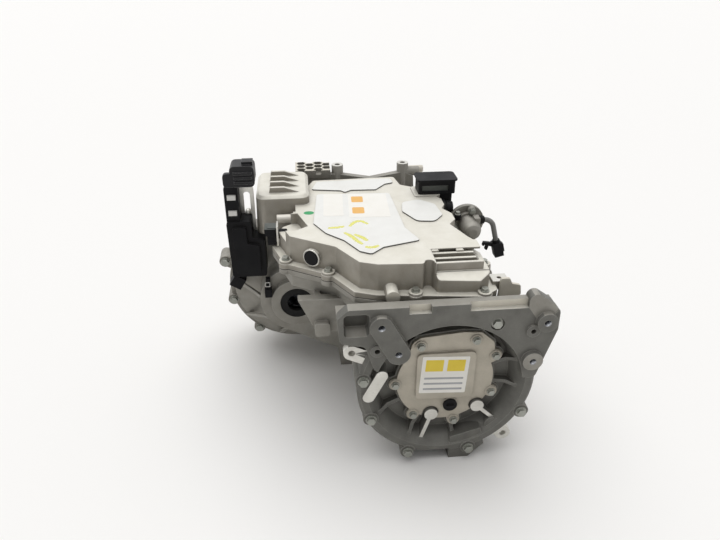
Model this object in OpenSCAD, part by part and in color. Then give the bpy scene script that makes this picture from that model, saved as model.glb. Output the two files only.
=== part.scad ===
// Electric drive unit: motor, inverter, two-stage helical reducer and bevel differential.
// Millimetres, +Z up. Every module is drawn from the motor axis (x = 0, z = 0), with y = 0 on the
// front ring of the motor end cover and +Y towards the reducer. The if lines at the end place it
// so that the origin lies on the wheel axle, at the mouth of the front axle bore.

/* [Motor] */
// Outer radius of the motor end cover
end_cover_r = 135; // [133:1:138]
// Depth of the motor end cover along the shaft
end_cover_depth = 40; // [38:1:44]
// Width of the rim between the dish and the edge of the end cover
dish_rim = 25; // [24:1:28]
// Outer radius of the motor barrel
barrel_r = 124; // [121:1:126]
// Length of the motor barrel between its joint faces
barrel_len = 222; // [216:1:232]
// Wall of the motor barrel
barrel_wall = 16; // [14:1:18]
// Bore radius of the stator core
stator_bore_r = 68; // [66:1:70]
// Length of the stator core
stator_len = 120; // [110:1:126]
// Number of stator slots
stator_slots = 48; // [36:6:54]
// Air gap between rotor and stator
air_gap = 1; // [0.7:0.1:1.4]
// Radius of the rotor shaft in its two large bearings
rotor_seat_r = 20; // [19:0.5:21]
// Radius of the round middle of the terminal cover plate
terminal_r = 74; // [72:1:76]
// Depth of the terminal cover's seat behind the front ring
terminal_seat_y = 18; // [16:1:20]

/* [Gears] */
// Teeth of the pinion on the rotor shaft
pinion_teeth = 24; // [23:1:25]
// Teeth of the large layshaft gear
first_gear_teeth = 65; // [63:1:66]
// Transverse module of the first stage
first_module = 2.25; // [2.2:0.05:2.3]
// Face width of the first stage
first_width = 30; // [26:1:32]
// Teeth of the small layshaft pinion
second_pinion_teeth = 22; // [21:1:23]
// Teeth of the ring gear
ring_teeth = 74; // [72:1:75]
// Transverse module of the second stage
second_module = 2.75; // [2.7:0.05:2.8]
// Face width of the second stage
second_width = 38; // [34:1:40]
// Helix angle of both stages
helix = 18; // [12:1:22]
// Teeth of each differential side gear
side_teeth = 16; // [16:2:16]
// Teeth of each differential planet gear
planet_teeth = 10; // [10:2:10]
// Module of the bevel gears at their large end
bevel_module = 3.6; // [3.4:0.1:3.7]

/* [Axle] */
// Sideways distance from the motor axis to the wheel axle
axle_dx = 220; // [218:1:224]
// Height of the wheel axle above the motor axis
axle_dz = 5; // [3:1:8]
// Radius of the bore that takes an axle shaft
axle_bore_r = 13.5; // [12:0.5:14]
// Radius of the differential case's trunnions
trunnion_r = 24; // [23:0.5:25]
// Radius of the passage through a trunnion
trunnion_bore_r = 16; // [15:0.5:17]

/* [Reducer] */
// Depth of the reducer case from the motor to the split
case_depth = 83; // [80:1:86]
// Depth of the reducer cover behind the split
cover_depth = 85; // [82:1:90]
// Wall of the reducer castings
case_wall = 8; // [7:0.5:10]
// Width of the flange at the split
split_flange = 10; // [9:0.5:12]
// Width of every shaft bearing
bearing_w = 16; // [14:1:16]
// Height of the feet below the motor axis
foot_drop = 149; // [146:1:152]

/* [Inverter] */
// Height of the inverter joint above the motor axis
joint_z = 135; // [134:1:137]
// Height of the inverter cover above the joint
inverter_h = 51; // [48:1:56]
// Wall of the inverter castings
inverter_wall = 5; // [4:0.5:6]
// Width of the inverter flange outside the wall
inverter_flange = 12; // [11:0.5:13]
// Height of the tower at the left above the joint
tower_h = 68; // [66:1:74]
// Thickness of the inverter gasket
gasket_t = 1; // [0.6:0.1:1.5]
// Thickness of the damping sheets
sheet_t = 2; // [1.5:0.1:3]

/* [Fasteners] */
// Thread size of the end cover and case bolts
case_bolt = 8; // [8:1:8]
// Thread size of the inverter and terminal cover bolts
cover_bolt = 6; // [5:1:6]
// Core radius of the mounting threads
mount_core_r = 5.1; // [4.2:0.1:5.4]
// Depth of the mounting threads
mount_depth = 28; // [24:1:30]

/* [Pump cable] */
// Diameter of the pump cable's corrugated tube
cable_d = 9; // [9:0.5:9]

/* [Fits] */
// Radial clearance of a piece that is pressed or seated in another
seat_gap = 0.05; // [0.02:0.01:0.1]
// Clearance between pieces that turn past each other
running_gap = 0.3; // [0.3:0.05:0.5]
// Clearance round a bolt shank
bolt_gap = 0.3; // [0.2:0.05:0.4]
// Backlash along the pitch circle of the helical gears
backlash = 0.4; // [0.3:0.05:0.5]
// Backlash of the bevel gears at their large end
bevel_backlash = 0.5; // [0.4:0.05:0.6]

/* [Hidden] */
$fn = 48;

// Colours
cast_dark = [0.52, 0.51, 0.48];
cast_mid = [0.66, 0.65, 0.61];
cast_bright = [0.86, 0.85, 0.80];
steel = [0.62, 0.63, 0.65];
gear_steel = [0.45, 0.46, 0.48];
black_plastic = [0.07, 0.07, 0.075];
copper = [0.72, 0.43, 0.24];
laminate = [0.36, 0.37, 0.39];
rubber = [0.12, 0.12, 0.12];
sheet_grey = [0.78, 0.78, 0.75];

// Small margins: overlap of joined solids and overshoot of cuts
sink = 1;
past = 2;

// Radii that follow from the driving sizes
dish_r = end_cover_r - dish_rim;
stator_r = barrel_r - barrel_wall;

// Levels along the shafts
joint_y = end_cover_depth;
rear_y = joint_y + barrel_len;
split_y = rear_y + case_depth;
back_y = split_y + cover_depth;
gear_space = 12;
first_y = rear_y + bearing_w + gear_space;
second_y = first_y + first_width + gear_space;
stator_y = joint_y + (barrel_len - stator_len) / 2 + 4;
front_bearing_y = rear_y + 6;
rear_bearing_y = back_y - 9 - bearing_w;
axle_centre_y = split_y;

// Places of the three axes, as x and z
motor = [0, 0];
axle = [-axle_dx, axle_dz];
first_distance = first_module * (pinion_teeth + first_gear_teeth) / 2;
second_distance = second_module * (second_pinion_teeth + ring_teeth) / 2;
axle_distance = norm(axle);
axle_dir = axle / axle_distance;
lay_along = (pow(first_distance, 2) - pow(second_distance, 2) + pow(axle_distance, 2)) / (2 * axle_distance);
lay_below = sqrt(pow(first_distance, 2) - pow(lay_along, 2));
lay = lay_along * axle_dir + lay_below * [-axle_dir[1], axle_dir[0]];
first_angle = atan2(lay[1], lay[0]);
second_angle = atan2(axle[1] - lay[1], axle[0] - lay[0]);

// Bevel gear sizes: pitch radii, cone length, and how far the teeth reach towards the centre
side_pitch_r = bevel_module * side_teeth / 2;
planet_pitch_r = bevel_module * planet_teeth / 2;
cone_len = norm([side_pitch_r, planet_pitch_r]);
bevel_face = 0.35;
tip_lean = bevel_module / cone_len * 180 / PI;
planet_reach = side_pitch_r * tan(atan(planet_pitch_r / side_pitch_r) + tip_lean);
planet_root_r = side_pitch_r * tan(atan(planet_pitch_r / side_pitch_r) - 1.25 * tip_lean);
side_back = 8;
side_hub = 19;
side_hub_r = 22;
planet_pin_r = 7;
side_end = planet_pitch_r + side_back + side_hub;

// Origin: on the axle, at the front mouth of the axle bore
origin_y = axle_centre_y - side_end;
module from_motor() translate([axle_dx, -origin_y, -axle_dz]) children();

// Solid between two levels along Y, from an outline in x and z
module prism_y(y0, y1) translate([0, y1, 0]) rotate([90, 0, 0]) linear_extrude(y1 - y0) children();

// Solid turned about an axis along Y, from a profile in radius and y
module turned_y(at) translate([at[0], 0, at[1]]) rotate([-90, 0, 0]) rotate_extrude() children();

// Round bar along Y
module rod_y(at, r, y0, y1) translate([at[0], y0, at[1]]) rotate([-90, 0, 0]) cylinder(r = r, h = y1 - y0);

// Plain ring along Y
module ring_y(at, inner, outer, y0, y1) turned_y(at) translate([inner, y0]) square([outer - inner, y1 - y0]);

// Outline of a bar with round ends between two points
module slot_shape(a, b, r) {
    translate(a) circle(r = r);
    translate(b) circle(r = r);
    polygon(belt(a, r, b, r));
}

// Corners of a belt round two circles, tucked a little inside them so that its sides cross them cleanly
tuck = 0.03;
function belt(a, ra, b, rb) = belt_corners(a, ra - tuck, b, rb - tuck);
function belt_corners(a, ra, b, rb) =
    let (
        along = atan2(b[1] - a[1], b[0] - a[0]),
        spread = acos((ra - rb) / norm(b - a)),
        up = [cos(along + spread), sin(along + spread)],
        down = [cos(along - spread), sin(along - spread)]
    )
    [a + ra * up, a + ra * down, b + rb * down, b + rb * up];

function unit(v) = v / norm(v);

// A closed outline moved inwards by a distance, outwards where it is negative
function moved_in(pts, d) = [
    for (i = [0 : len(pts) - 1])
        let (
            here = pts[i],
            e1 = unit(here - pts[(i + len(pts) - 1) % len(pts)]),
            e2 = unit(pts[(i + 1) % len(pts)] - here),
            n1 = [-e1[1], e1[0]],
            n2 = [-e2[1], e2[0]]
        )
        here + d * (n1 + n2) / (1 + n1 * n2)
];

// A closed outline with every corner rounded
function rounded(pts, r, steps = 4) = [
    for (i = [0 : len(pts) - 1])
        let (
            here = pts[i],
            a = unit(pts[(i + len(pts) - 1) % len(pts)] - here),
            b = unit(pts[(i + 1) % len(pts)] - here),
            half = acos(a * b) / 2,
            centre = here + unit(a + b) * r / sin(half),
            start = here + a * r / tan(half) - centre,
            end = here + b * r / tan(half) - centre,
            from = atan2(start[1], start[0]),
            turn = (atan2(end[1], end[0]) - from + 540) % 360 - 180
        )
        for (k = [0 : steps]) centre + r * [cos(from + turn * k / steps), sin(from + turn * k / steps)]
];

// Corners of a rectangle
function box_pts(x0, y0, x1, y1) = [[x0, y0], [x1, y0], [x1, y1], [x0, y1]];

// Cast shell: straight lower walls with draft and a sloped edge round the top
module drafted(pts, z0, z1, draft, edge, edge_h) {
    n = len(pts);
    rings = [[0, z0], [draft, z1 - edge_h], [draft + edge, z1]];
    points = [for (ring = rings) for (p = moved_in(pts, ring[0])) [p[0], p[1], ring[1]]];
    bottom = [[for (i = [0 : n - 1]) i]];
    top = [[for (i = [n - 1 : -1 : 0]) 2 * n + i]];
    sides = [for (k = [0, 1]) for (i = [0 : n - 1])
        [k * n + i, (k + 1) * n + i, (k + 1) * n + (i + 1) % n, k * n + (i + 1) % n]];
    polyhedron(points, concat(bottom, top, sides), convexity = 8);
}

// Tube along a list of points
module tube(route, r, sides = 10) {
    n = len(route);
    dirs = [for (i = [0 : n - 1]) unit(route[min(i + 1, n - 1)] - route[max(i - 1, 0)])];
    points = [for (i = [0 : n - 1])
        let (side = unit(cross(dirs[i], [0, 1, 0])), up = cross(side, dirs[i]))
        for (k = [0 : sides - 1]) route[i] + r * (cos(360 * k / sides) * side + sin(360 * k / sides) * up)];
    walls = [for (i = [0 : n - 2]) for (k = [0 : sides - 1])
        [i * sides + k, i * sides + (k + 1) % sides, (i + 1) * sides + (k + 1) % sides, (i + 1) * sides + k]];
    first = [[for (k = [sides - 1 : -1 : 0]) k]];
    last = [[for (k = [0 : sides - 1]) (n - 1) * sides + k]];
    polyhedron(points, concat(walls, first, last));
}

// Hexagon flange bolt with its seat at z = 0 and its shank below
module hex_bolt(size, len) {
    cylinder(r = 1.05 * size, h = 0.25 * size);
    translate([0, 0, 0.2 * size]) cylinder(r = 0.85 * size, h = 0.7 * size, $fn = 6);
    translate([0, 0, -len]) cylinder(r = size / 2, h = len + 0.1 * size);
}

// Bolt whose head looks towards the front
module front_bolt(at, seat_y, size, len)
    translate([at[0], seat_y, at[1]]) rotate([90, 0, 0]) hex_bolt(size, len);

function bolt_hole_r(size) = size / 2 + bolt_gap;

// Involute function in degrees, and the pressure angle of all gears
pressure = 20;
function inv(a) = tan(a) * 180 / PI - a;

// Half of a tooth's angle at a radius, from the half angle on the pitch circle
function tooth_half(r, pitch_r, pitch_half) =
    let (base = pitch_r * cos(pressure), a = acos(min(1, base / r)))
    pitch_half + inv(pressure) - inv(a);

// Outline of a gear: root, pitch and tip points of each flank
function gear_outline(teeth, mod) =
    let (
        pitch_r = mod * teeth / 2,
        half = 90 / teeth - backlash / 4 / pitch_r * 180 / PI,
        radii = [pitch_r - 1.25 * mod, pitch_r, pitch_r + mod]
    )
    [for (t = [0 : teeth - 1]) each concat(
        [for (r = radii) let (a = t * 360 / teeth - tooth_half(r, pitch_r, half)) r * [cos(a), sin(a)]],
        [for (i = [2 : -1 : 0]) let (r = radii[i], a = t * 360 / teeth + tooth_half(r, pitch_r, half))
            r * [cos(a), sin(a)]]
    )];

// Helical gear about an axis along Y, with one tooth pointing along an angle
module helical_gear(at, teeth, mod, y0, width, hand, phase, bore) {
    twist = hand * width * tan(helix) / (mod * teeth / 2) * 180 / PI;
    translate([at[0], y0 + width, at[1]])
        rotate([90, 0, 0])
            difference() {
                linear_extrude(width, twist = twist, slices = 2)
                    rotate(phase) polygon(gear_outline(teeth, mod));
                translate([0, 0, -past]) cylinder(r = bore, h = width + 2 * past);
            }
}

// Outline of a bevel gear in the plane of its large end, worked out on a sphere round the cone's tip
function bevel_outline(teeth, pitch_r, plane) =
    let (
        cone = atan(pitch_r / plane),
        virtual_r = cone_len * tan(cone),
        half = 90 / teeth * pitch_r / virtual_r - bevel_backlash / 4 / virtual_r * 180 / PI,
        steps = [-1.25, -0.5, 0, 1]
    )
    [for (t = [0 : teeth - 1]) for (side = [-1, 1]) for (k = side < 0 ? [0 : 3] : [3 : -1 : 0])
        let (
            up = steps[k] * bevel_module,
            lean = cone + up / cone_len * 180 / PI,
            at_r = virtual_r + up,
            a = t * 360 / teeth + side * tooth_half(at_r, virtual_r, half) * at_r / (cone_len * sin(lean))
        )
        plane * tan(lean) * [cos(a), sin(a)]];

// Bevel gear teeth along +Z, with the cone's tip at the origin
module bevel_teeth(teeth, pitch_r, plane, phase) {
    height = bevel_face * plane;
    translate([0, 0, plane])
        mirror([0, 0, 1])
            linear_extrude(height, scale = 1 - bevel_face)
                rotate(phase) polygon(bevel_outline(teeth, pitch_r, plane));
}

// Ball bearing sizes: bore radius, outer radius
rotor_bearing = [rotor_seat_r, rotor_seat_r + 16];
tail_bearing = [15, 31];
lay_bearing = [17.5, 34];
axle_bearing = [trunnion_r, trunnion_r + 16];
balls = 9;
function ball_r(b) = 0.28 * (b[1] - b[0]);
function ball_pitch(b) = (b[0] + b[1]) / 2;

// Turning part of a bearing: inner ring with its balls
module bearing_inner(at, b, y0) {
    ring_y(at, b[0] + seat_gap, ball_pitch(b) - 0.4 * ball_r(b), y0, y0 + bearing_w);
    for (k = [0 : balls - 1])
        translate([at[0], y0 + bearing_w / 2, at[1]])
            rotate([0, k * 360 / balls, 0])
                translate([ball_pitch(b), 0, 0]) sphere(r = ball_r(b));
}

// Still part of a bearing
module bearing_outer(at, b, y0)
    ring_y(at, ball_pitch(b) + ball_r(b) + running_gap, b[1] - seat_gap, y0, y0 + bearing_w);

// Places on the end cover, as x and z; its bolts follow the rim
drawn_cover_r = 135;
cover_bolt_places = end_cover_r / drawn_cover_r
    * [[64, 110], [120, -58], [42, -126], [-55, -126], [-114, -54], [-126, 20]];
cover_bolt_pads = 12;
cover_pad_y = -1;
spot_r = 1.05 * case_bolt + 1.6;
slant_boss = [[-102, 119], [-77, 73]];
right_bosses = [[134, 112], [121, 46]];
mount_places = concat(slant_boss, right_bosses);
mount_boss_r = 17;
mount_face_y = -14;
dowel_places = [[-107, 77], [117, 96]];
dowel_face_y = -9;
dowel_depth = 20;
dowel_r = 4;
ear_places = [[-142, 66], [99, -108]];
ear_y = [6, 18];
ear_hole_r = 5;
web_y = -6;
flange_front_y = 12;
web_pts = [[-110, 40], [-124, 84], [-160, 92], [-163, 132], [-148, 146],
           [130, 146], [153, 128], [154, 96], [130, 10]];
top_ledges = [[-63, -32], [23, 106]];
ledge_z = 135;
pocket = box_pts(-154, 102, -118, 138);
foot_x = [12, 60];
terminal_places = [[-40, 66], [42, 72], [74, 42], [73, -26], [18, -78], [-47, -62], [-76, -2]];
key_places = [[-19, -62], [53, -51]];
key_r = 10.5;
rib_angles = [-153, -118, -80, -8, 18, 60, 120, 176];
seat_rim = 3;
dish_floor_y = 30;
hub_bore_r = 60;
bearing_lip = 8;

// Outline of the end cover's foot
module foot_outline() {
    x0 = foot_x[0];
    x1 = foot_x[1];
    polygon([[x0, -end_cover_r + 30], [x0, -foot_drop], [x1 - 16, -foot_drop],
             [x1 + 8, -end_cover_r + 12], [x1, -90]]);
}

module motor_end_cover() {
    hub_r = rotor_bearing[1] + 9;
    hub_y = joint_y + bearing_w + 2;
    lip_r = rotor_bearing[1] - bearing_lip;
    spigot_r = stator_r - seat_gap;
    color(cast_dark) difference() {
        union() {
            turned_y(motor) polygon([
                [lip_r, dish_floor_y], [dish_r - 8, dish_floor_y], [dish_r, 12], [end_cover_r - 15, 0],
                [end_cover_r - 5, 0], [end_cover_r, 5], [end_cover_r, joint_y], [spigot_r, joint_y],
                [spigot_r, joint_y + 6], [spigot_r - 10, joint_y + 6], [spigot_r - 10, joint_y],
                [hub_r, joint_y], [hub_r, hub_y], [rotor_bearing[1], hub_y], [rotor_bearing[1], joint_y],
                [lip_r, joint_y]
            ]);
            prism_y(terminal_seat_y, dish_floor_y + sink) difference() {
                terminal_outline(seat_rim);
                circle(r = hub_bore_r);
            }
            for (a = rib_angles) rotate([0, -a, 0]) end_cover_rib();
            prism_y(web_y, joint_y) difference() {
                polygon(rounded(web_pts, 9));
                circle(r = dish_r + 2);
            }
            prism_y(web_y, flange_front_y) slot_shape([116, 146], [136, 132], 10);
            prism_y(mount_face_y, joint_y - sink) slot_shape(slant_boss[0], slant_boss[1], mount_boss_r);
            for (at = right_bosses) rod_y(at, mount_boss_r - 2, mount_face_y, joint_y - sink);
            for (at = dowel_places) rod_y(at, dowel_r + 6, dowel_face_y, joint_y - sink);
            for (at = cover_bolt_places) rod_y(at, cover_bolt_pads, cover_pad_y, joint_y);
            for (at = key_places) end_cover_key(at);
            for (at = ear_places) prism_y(ear_y[0], ear_y[1]) slot_shape(at, at * 0.8, ear_hole_r + 7);
            prism_y(-3, dish_floor_y) slot_shape([-99, 28], [-118, -10], 9);
            prism_y(2, joint_y) foot_outline();
        }
        translate([-200, flange_front_y, rear_floor_z - running_gap]) cube([400, joint_y, 100]);
        prism_y(web_y - past, dish_floor_y - 8) polygon(rounded(pocket, 6));
        for (x = top_ledges) translate([x[0], web_y - past, ledge_z]) cube([x[1] - x[0], 10, 30]);
        prism_y(-past, joint_y + past)
            polygon(box_pts(-50, -end_cover_r - past, foot_x[0], -end_cover_r + 8));
        for (at = mount_places) rod_y(at, mount_core_r, mount_face_y - past, mount_face_y + mount_depth);
        for (at = dowel_places) rod_y(at, dowel_r, dowel_face_y - past, dowel_face_y + dowel_depth);
        for (at = ear_places) rod_y(at, ear_hole_r, ear_y[0] - past, ear_y[1] + past);
        for (at = cover_bolt_places) {
            rod_y(at, bolt_hole_r(case_bolt), cover_pad_y - past, joint_y + past);
            rod_y(at, spot_r, web_y - past, cover_pad_y);
        }
        for (at = terminal_places)
            rod_y(at, bolt_hole_r(cover_bolt), terminal_seat_y - past, dish_floor_y + 6);
    }
}

// Sloped rib in the dish
module end_cover_rib()
    rotate([0, 0, 90]) translate([0, 0, -3])
        linear_extrude(6) polygon([
            [terminal_seat_y + 1, -terminal_r + 8], [dish_floor_y + sink, -terminal_r + 8],
            [dish_floor_y + sink, -dish_r - 4], [8, -dish_r - 4], [terminal_seat_y + 1, -dish_r + 14]
        ]);

// Machined disc with a tail that runs out to the ring
module end_cover_key(at) {
    far = unit(at) * (dish_r + 2);
    face_y = 9;
    rod_y(at, key_r, face_y, dish_floor_y + sink);
    prism_y(face_y, dish_floor_y + sink) slot_shape(at, far, 3);
}

module end_cover_bolts()
    color(steel) for (at = cover_bolt_places) front_bolt(at, cover_pad_y, case_bolt, joint_y + 15);

module terminal_cover() {
    plate_t = 4;
    front_y = terminal_seat_y - plate_t;
    color(cast_mid) difference() {
        union() {
            prism_y(front_y, terminal_seat_y) terminal_outline(0);
            prism_y(front_y - 4, front_y + sink) polygon(rounded(box_pts(-45, -31.5, 44, 53), 8));
            for (at = terminal_places) rod_y(at, cover_bolt + 3, front_y - 2, terminal_seat_y);
            rod_y(plug_place, plug_r + 4, front_y - 2, terminal_seat_y);
        }
        for (at = terminal_places)
            rod_y(at, bolt_hole_r(cover_bolt), front_y - 2 - past, terminal_seat_y + past);
        rod_y(plug_place, plug_r + seat_gap, front_y - 2 - past, terminal_seat_y + past);
    }
}

// Terminal cover's outline, with a lobe at each bolt
terminal_top = [[76, 30], [70, 66], [50, 84], [22, 86], [-40, 80], [-52, 72], [-62, 30]];
module terminal_outline(grow) {
    difference() {
        union() {
            circle(r = terminal_r + grow);
            polygon(rounded(moved_in(terminal_top, -grow), 8));
            for (at = terminal_places) slot_shape(at, 0.7 * at, cover_bolt + 4 + grow);
        }
        for (at = key_places) slot_shape_at(at, key_r + 2 - grow);
    }
}
module slot_shape_at(at, r) slot_shape(at, unit(at) * (terminal_r + 20), r);

module terminal_cover_bolts()
    color(steel) for (at = terminal_places) front_bolt(at, terminal_seat_y - 6, cover_bolt, 22);

plug_place = [10, -46];
plug_r = 9;
module terminal_plug() {
    seat_y = terminal_seat_y - 6;
    color(black_plastic) {
        rod_y(plug_place, plug_r, seat_y - sink, terminal_seat_y - 1);
        rod_y(plug_place, plug_r + 2, seat_y - 3, seat_y);
        translate([plug_place[0] - 6, seat_y - 6, plug_place[1] - 1.5]) cube([12, 4, 3]);
    }
}

// Inverter outline, anticlockwise from the left end of the slanted front wall
left_front_pts = [[-224, 150], [-156, 107], [-126, 56], [-100, 46]];
notch_pts = [[-36, 42], [-32, 53], [-22, 53], [-16, 32]];
rest_pts = [[44, 28], [60, 40], [60, 96], [47, 122], [30, 170], [43, 188], [43, 212], [31, 234], [39, 250],
            [39, 272], [18, 322], [-22, 350], [-28, 392], [-180, 386], [-214, 300]];
low_corner = [[-214, 242], [-236, 226], [-242, 206]];
high_corner = [[-211, 236], [-195, 184], [-214, 170]];
wall_pts = concat(left_front_pts, notch_pts, rest_pts, low_corner);
plain_pts = concat(left_front_pts, rest_pts, low_corner);
cover_z = joint_z + gasket_t;
top_z = cover_z + inverter_h;
flange_t = 8;
inverter_bolt_places = [
    [-232, 149], [-168, 105], [-48, 33], [50, 24], [72, 108], [54, 206], [36, 298], [-15, 364],
    [-100, 397], [-166, 396], [-234, 244]
];
module inverter_flange_outline() {
    polygon(rounded(moved_in(plain_pts, -inverter_flange), 6));
    for (at = inverter_bolt_places) translate(at) circle(r = cover_bolt + 5);
}

// Tower at the left: plan outline and places of its fins
tower = box_pts(-282, 270, -188, 398);
tower_z = cover_z + tower_h;
tower_fins = 4;
signal_r = 8;
fin_block = [-18, 108];
room_pts = rounded(
    moved_in(concat(left_front_pts, notch_pts, rest_pts, high_corner), inverter_wall + 2), 3, 3);
corner_z = cover_z + 32;
fin_base_z = top_z - 15;

module inverter_cover() {
    w = inverter_wall;
    low_z = fin_base_z - w - 4;
    color(cast_bright) difference() {
        union() {
            difference() {
                linear_extrude_at(cover_z, inverter_h) polygon(rounded(wall_pts, 5, 3));
                translate([fin_block[0], -past, fin_base_z]) cube([200, fin_block[1] + past, inverter_h]);
                translate([fin_block[0], 26, fin_base_z - 11]) rotate([29, 0, 0]) cube([200, 20.6, 30]);
                linear_extrude_at(corner_z, inverter_h)
                    polygon(concat(high_corner, [[-300, 170], [-300, 236]]));
            }
            linear_extrude_at(cover_z, flange_t) inverter_flange_outline();
            for (at = inverter_bolt_places)
                translate([at[0], at[1], cover_z]) cylinder(r = cover_bolt + 4, h = flange_t + 4);
            drafted(rounded(tower, 16), cover_z, tower_z, 2, 5, 5);
            for (k = [0 : tower_fins - 1]) tower_fin(292 + k * 27);
            for (k = [0 : 2]) front_fin(fin_block[1] - 46 + k * 16);
            side_plug_axis() translate([0, 0, -3]) cylinder(r = side_plug_r + 5, h = 7);
            rod_y([-82, cover_z + 10.5], 10, 20, 50);
            lug_block();
            round_axis() translate([0, 0, -10]) cylinder(r = 17, h = 10);
            linear_extrude_at(top_z - w, w + 2) polygon(rounded(box_pts(-6, 286, 40, 334), 6));
        }
        linear_extrude_at(cover_z - past, low_z - cover_z + past) polygon(room_pts);
        linear_extrude_at(low_z - sink, top_z - w - low_z + sink) intersection() {
            polygon(room_pts);
            translate([-400, fin_block[1] + w]) square([800, 400]);
        }
        linear_extrude_at(cover_z + w, tower_h - 2 * w) polygon(rounded(moved_in(tower, w + 3), 12));
        for (at = inverter_bolt_places)
            translate([at[0], at[1], cover_z - past])
                cylinder(r = bolt_hole_r(cover_bolt), h = flange_t + 10);
        side_plug_axis() translate([0, 0, -20]) cylinder(r = side_plug_r + seat_gap, h = 40);
        translate([80, 57, cover_z + lug_h - lug_thread]) cylinder(r = lug_core_r, h = lug_thread + past);
        signal_axis() translate([0, 0, -past]) cylinder(r = signal_r, h = 16);
    }
}
module linear_extrude_at(z, h) translate([0, 0, z]) linear_extrude(h) children();

// Fin on the tower, full height at the left and running out at the right
module tower_fin(y)
    translate([0, y + 3, 0]) rotate([90, 0, 0]) linear_extrude(6)
        polygon([[-258, tower_z - 4], [-256, tower_z + 9], [-232, tower_z + 9], [-194, tower_z - 4]]);

// Fin on the low front block
module front_fin(y)
    translate([0, y + 2.5, 0]) rotate([90, 0, 0]) linear_extrude(5)
        polygon([[-26, fin_base_z - 6], [-26, top_z - 3], [44, top_z - 3], [58, fin_base_z - 6]]);

// Standing lug at the right front corner, with a thread in its top
lug_h = 14;
lug_thread = 11;
lug_core_r = 3.4;
module lug_block()
    difference() {
        translate([68, 46, cover_z]) cube([24, 22, lug_h]);
        translate([84, 40, cover_z - past]) rotate([0, 0, -35]) cube([20, 20, 20]);
    }

// The slanted front-left wall carries a round black plug
side_plug_r = 9;
slant_dir = unit(left_front_pts[1] - left_front_pts[0]);
side_plug_at = (left_front_pts[0] + left_front_pts[1]) / 2;
module side_plug_axis()
    translate([side_plug_at[0], side_plug_at[1], cover_z + 25])
        rotate([0, 0, atan2(slant_dir[1], slant_dir[0])])
            rotate([90, 0, 0]) children();
module inverter_side_plug()
    color(black_plastic) side_plug_axis() {
        translate([0, 0, -4]) cylinder(r = side_plug_r, h = 9);
        translate([0, 0, 4]) cylinder(r = side_plug_r + 2.5, h = 3);
    }

module inverter_gasket()
    color(rubber) linear_extrude_at(joint_z, gasket_t) difference() {
        inverter_flange_outline();
        polygon(rounded(moved_in(plain_pts, inverter_wall), 3));
        for (at = inverter_bolt_places) translate(at) circle(r = bolt_hole_r(cover_bolt));
    }

module inverter_cover_bolts()
    color(steel) for (at = inverter_bolt_places)
        translate([at[0], at[1], cover_z + flange_t + 4]) hex_bolt(cover_bolt, 2 * flange_t + gasket_t + 3);

module rear_damping_sheet()
    color(sheet_grey) linear_extrude_at(top_z, sheet_t)
        polygon(rounded([[-184, 337], [-132, 327], [-126, 318], [-114, 328], [-70, 326],
                         [-50, 352], [-34, 358], [-36, 380], [-174, 374]], 4));
module main_damping_sheet()
    color(sheet_grey) linear_extrude_at(top_z, sheet_t)
        polygon(rounded([[-186, 190], [-168, 152], [-142, 124], [-122, 86], [-106, 76], [-86, 96], [-28, 114],
                         [-44, 160], [-48, 306], [-176, 312]], 5));
module round_damping_sheet()
    color(sheet_grey) linear_extrude_at(top_z, sheet_t)
        polygon(rounded([[-38, 224], [-20, 184], [8, 180], [26, 204], [22, 250], [-2, 272], [-32, 262]], 12));

// Motor housing: barrel, inverter tray above it, and the wedge under the left of the tray
tray_floor_z = 100;
rear_floor_z = joint_z - flange_t;
tray_end_y = rear_y - 2;
wedge_y = [96, 112];
seat_box = box_pts(-100, 116, 26, tray_end_y - 10);
module tray_outline(less) intersection() {
    polygon(rounded(moved_in(plain_pts, less), 4, 3));
    translate([-400, joint_y + less]) square([800, tray_end_y - joint_y - 2 * less]);
}
module motor_housing() {
    w = inverter_wall;
    barrel_back = rear_y - ear_depth;
    color(cast_mid) difference() {
        union() {
            difference() {
                union() {
                    linear_extrude_at(tray_floor_z, joint_z - tray_floor_z) tray_outline(0);
                    linear_extrude_at(rear_floor_z, flange_t) inverter_flange_outline();
                }
                linear_extrude_at(tray_floor_z + w, joint_z - tray_floor_z) tray_outline(w + 1);
                linear_extrude_at(joint_z - 3, 3 + past) polygon(room_pts);
            }
            linear_extrude_at(tray_floor_z, barrel_r + seat_lift - tray_floor_z) polygon(seat_box);
            rod_y(motor, barrel_r, joint_y, rear_y);
            rod_y(motor, end_cover_r - 8, joint_y, joint_y + 12);
            for (at = cover_bolt_places) rod_y(at, cover_bolt_pads, joint_y, joint_y + 24);
            for (at = housing_bolts) rod_y(at, case_bolt + 4, barrel_back, rear_y);
            for (a = [-150 : 30 : -30])
                rotate([0, -a, 0]) translate([barrel_r - 3, joint_y + 6, -3]) cube([8, barrel_len - 34, 6]);
            prism_y(joint_y, joint_y + 5)
                polygon(rounded([[66, 100], [92, 80], [98, 118], [110, 130], [108, 145], [95, 148], [91, 157],
                                 [78, 157], [76, 124]], 3));
            prism_y(wedge_y[0], wedge_y[1])
                polygon([[-216, tray_floor_z + 4], [-150, tray_floor_z + 4], [-118, 60],
                         [-118, 40], [-172, 46], [-190, 46]]);
            prism_y(wedge_y[0] - 10, wedge_y[1] + 10) polygon(rounded(box_pts(-192, 42, -168, 66), 5));
            prism_y(wedge_y[1] - sink, rear_y - 20)
                polygon([[-190, tray_floor_z + 4], [-182, tray_floor_z + 4], [-182, 62], [-190, 84]]);
        }
        rod_y(motor, stator_r, joint_y - past, rear_y + past);
        for (at = cover_bolt_places) rod_y(at, bolt_hole_r(case_bolt), joint_y - past, joint_y + 20);
        for (at = housing_bolts) rod_y(at, bolt_hole_r(case_bolt), barrel_back - past, rear_y + past);
        for (at = inverter_bolt_places)
            translate([at[0], at[1], rear_floor_z - past])
                cylinder(r = bolt_hole_r(cover_bolt), h = flange_t + 2 * past);
    }
}

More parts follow.
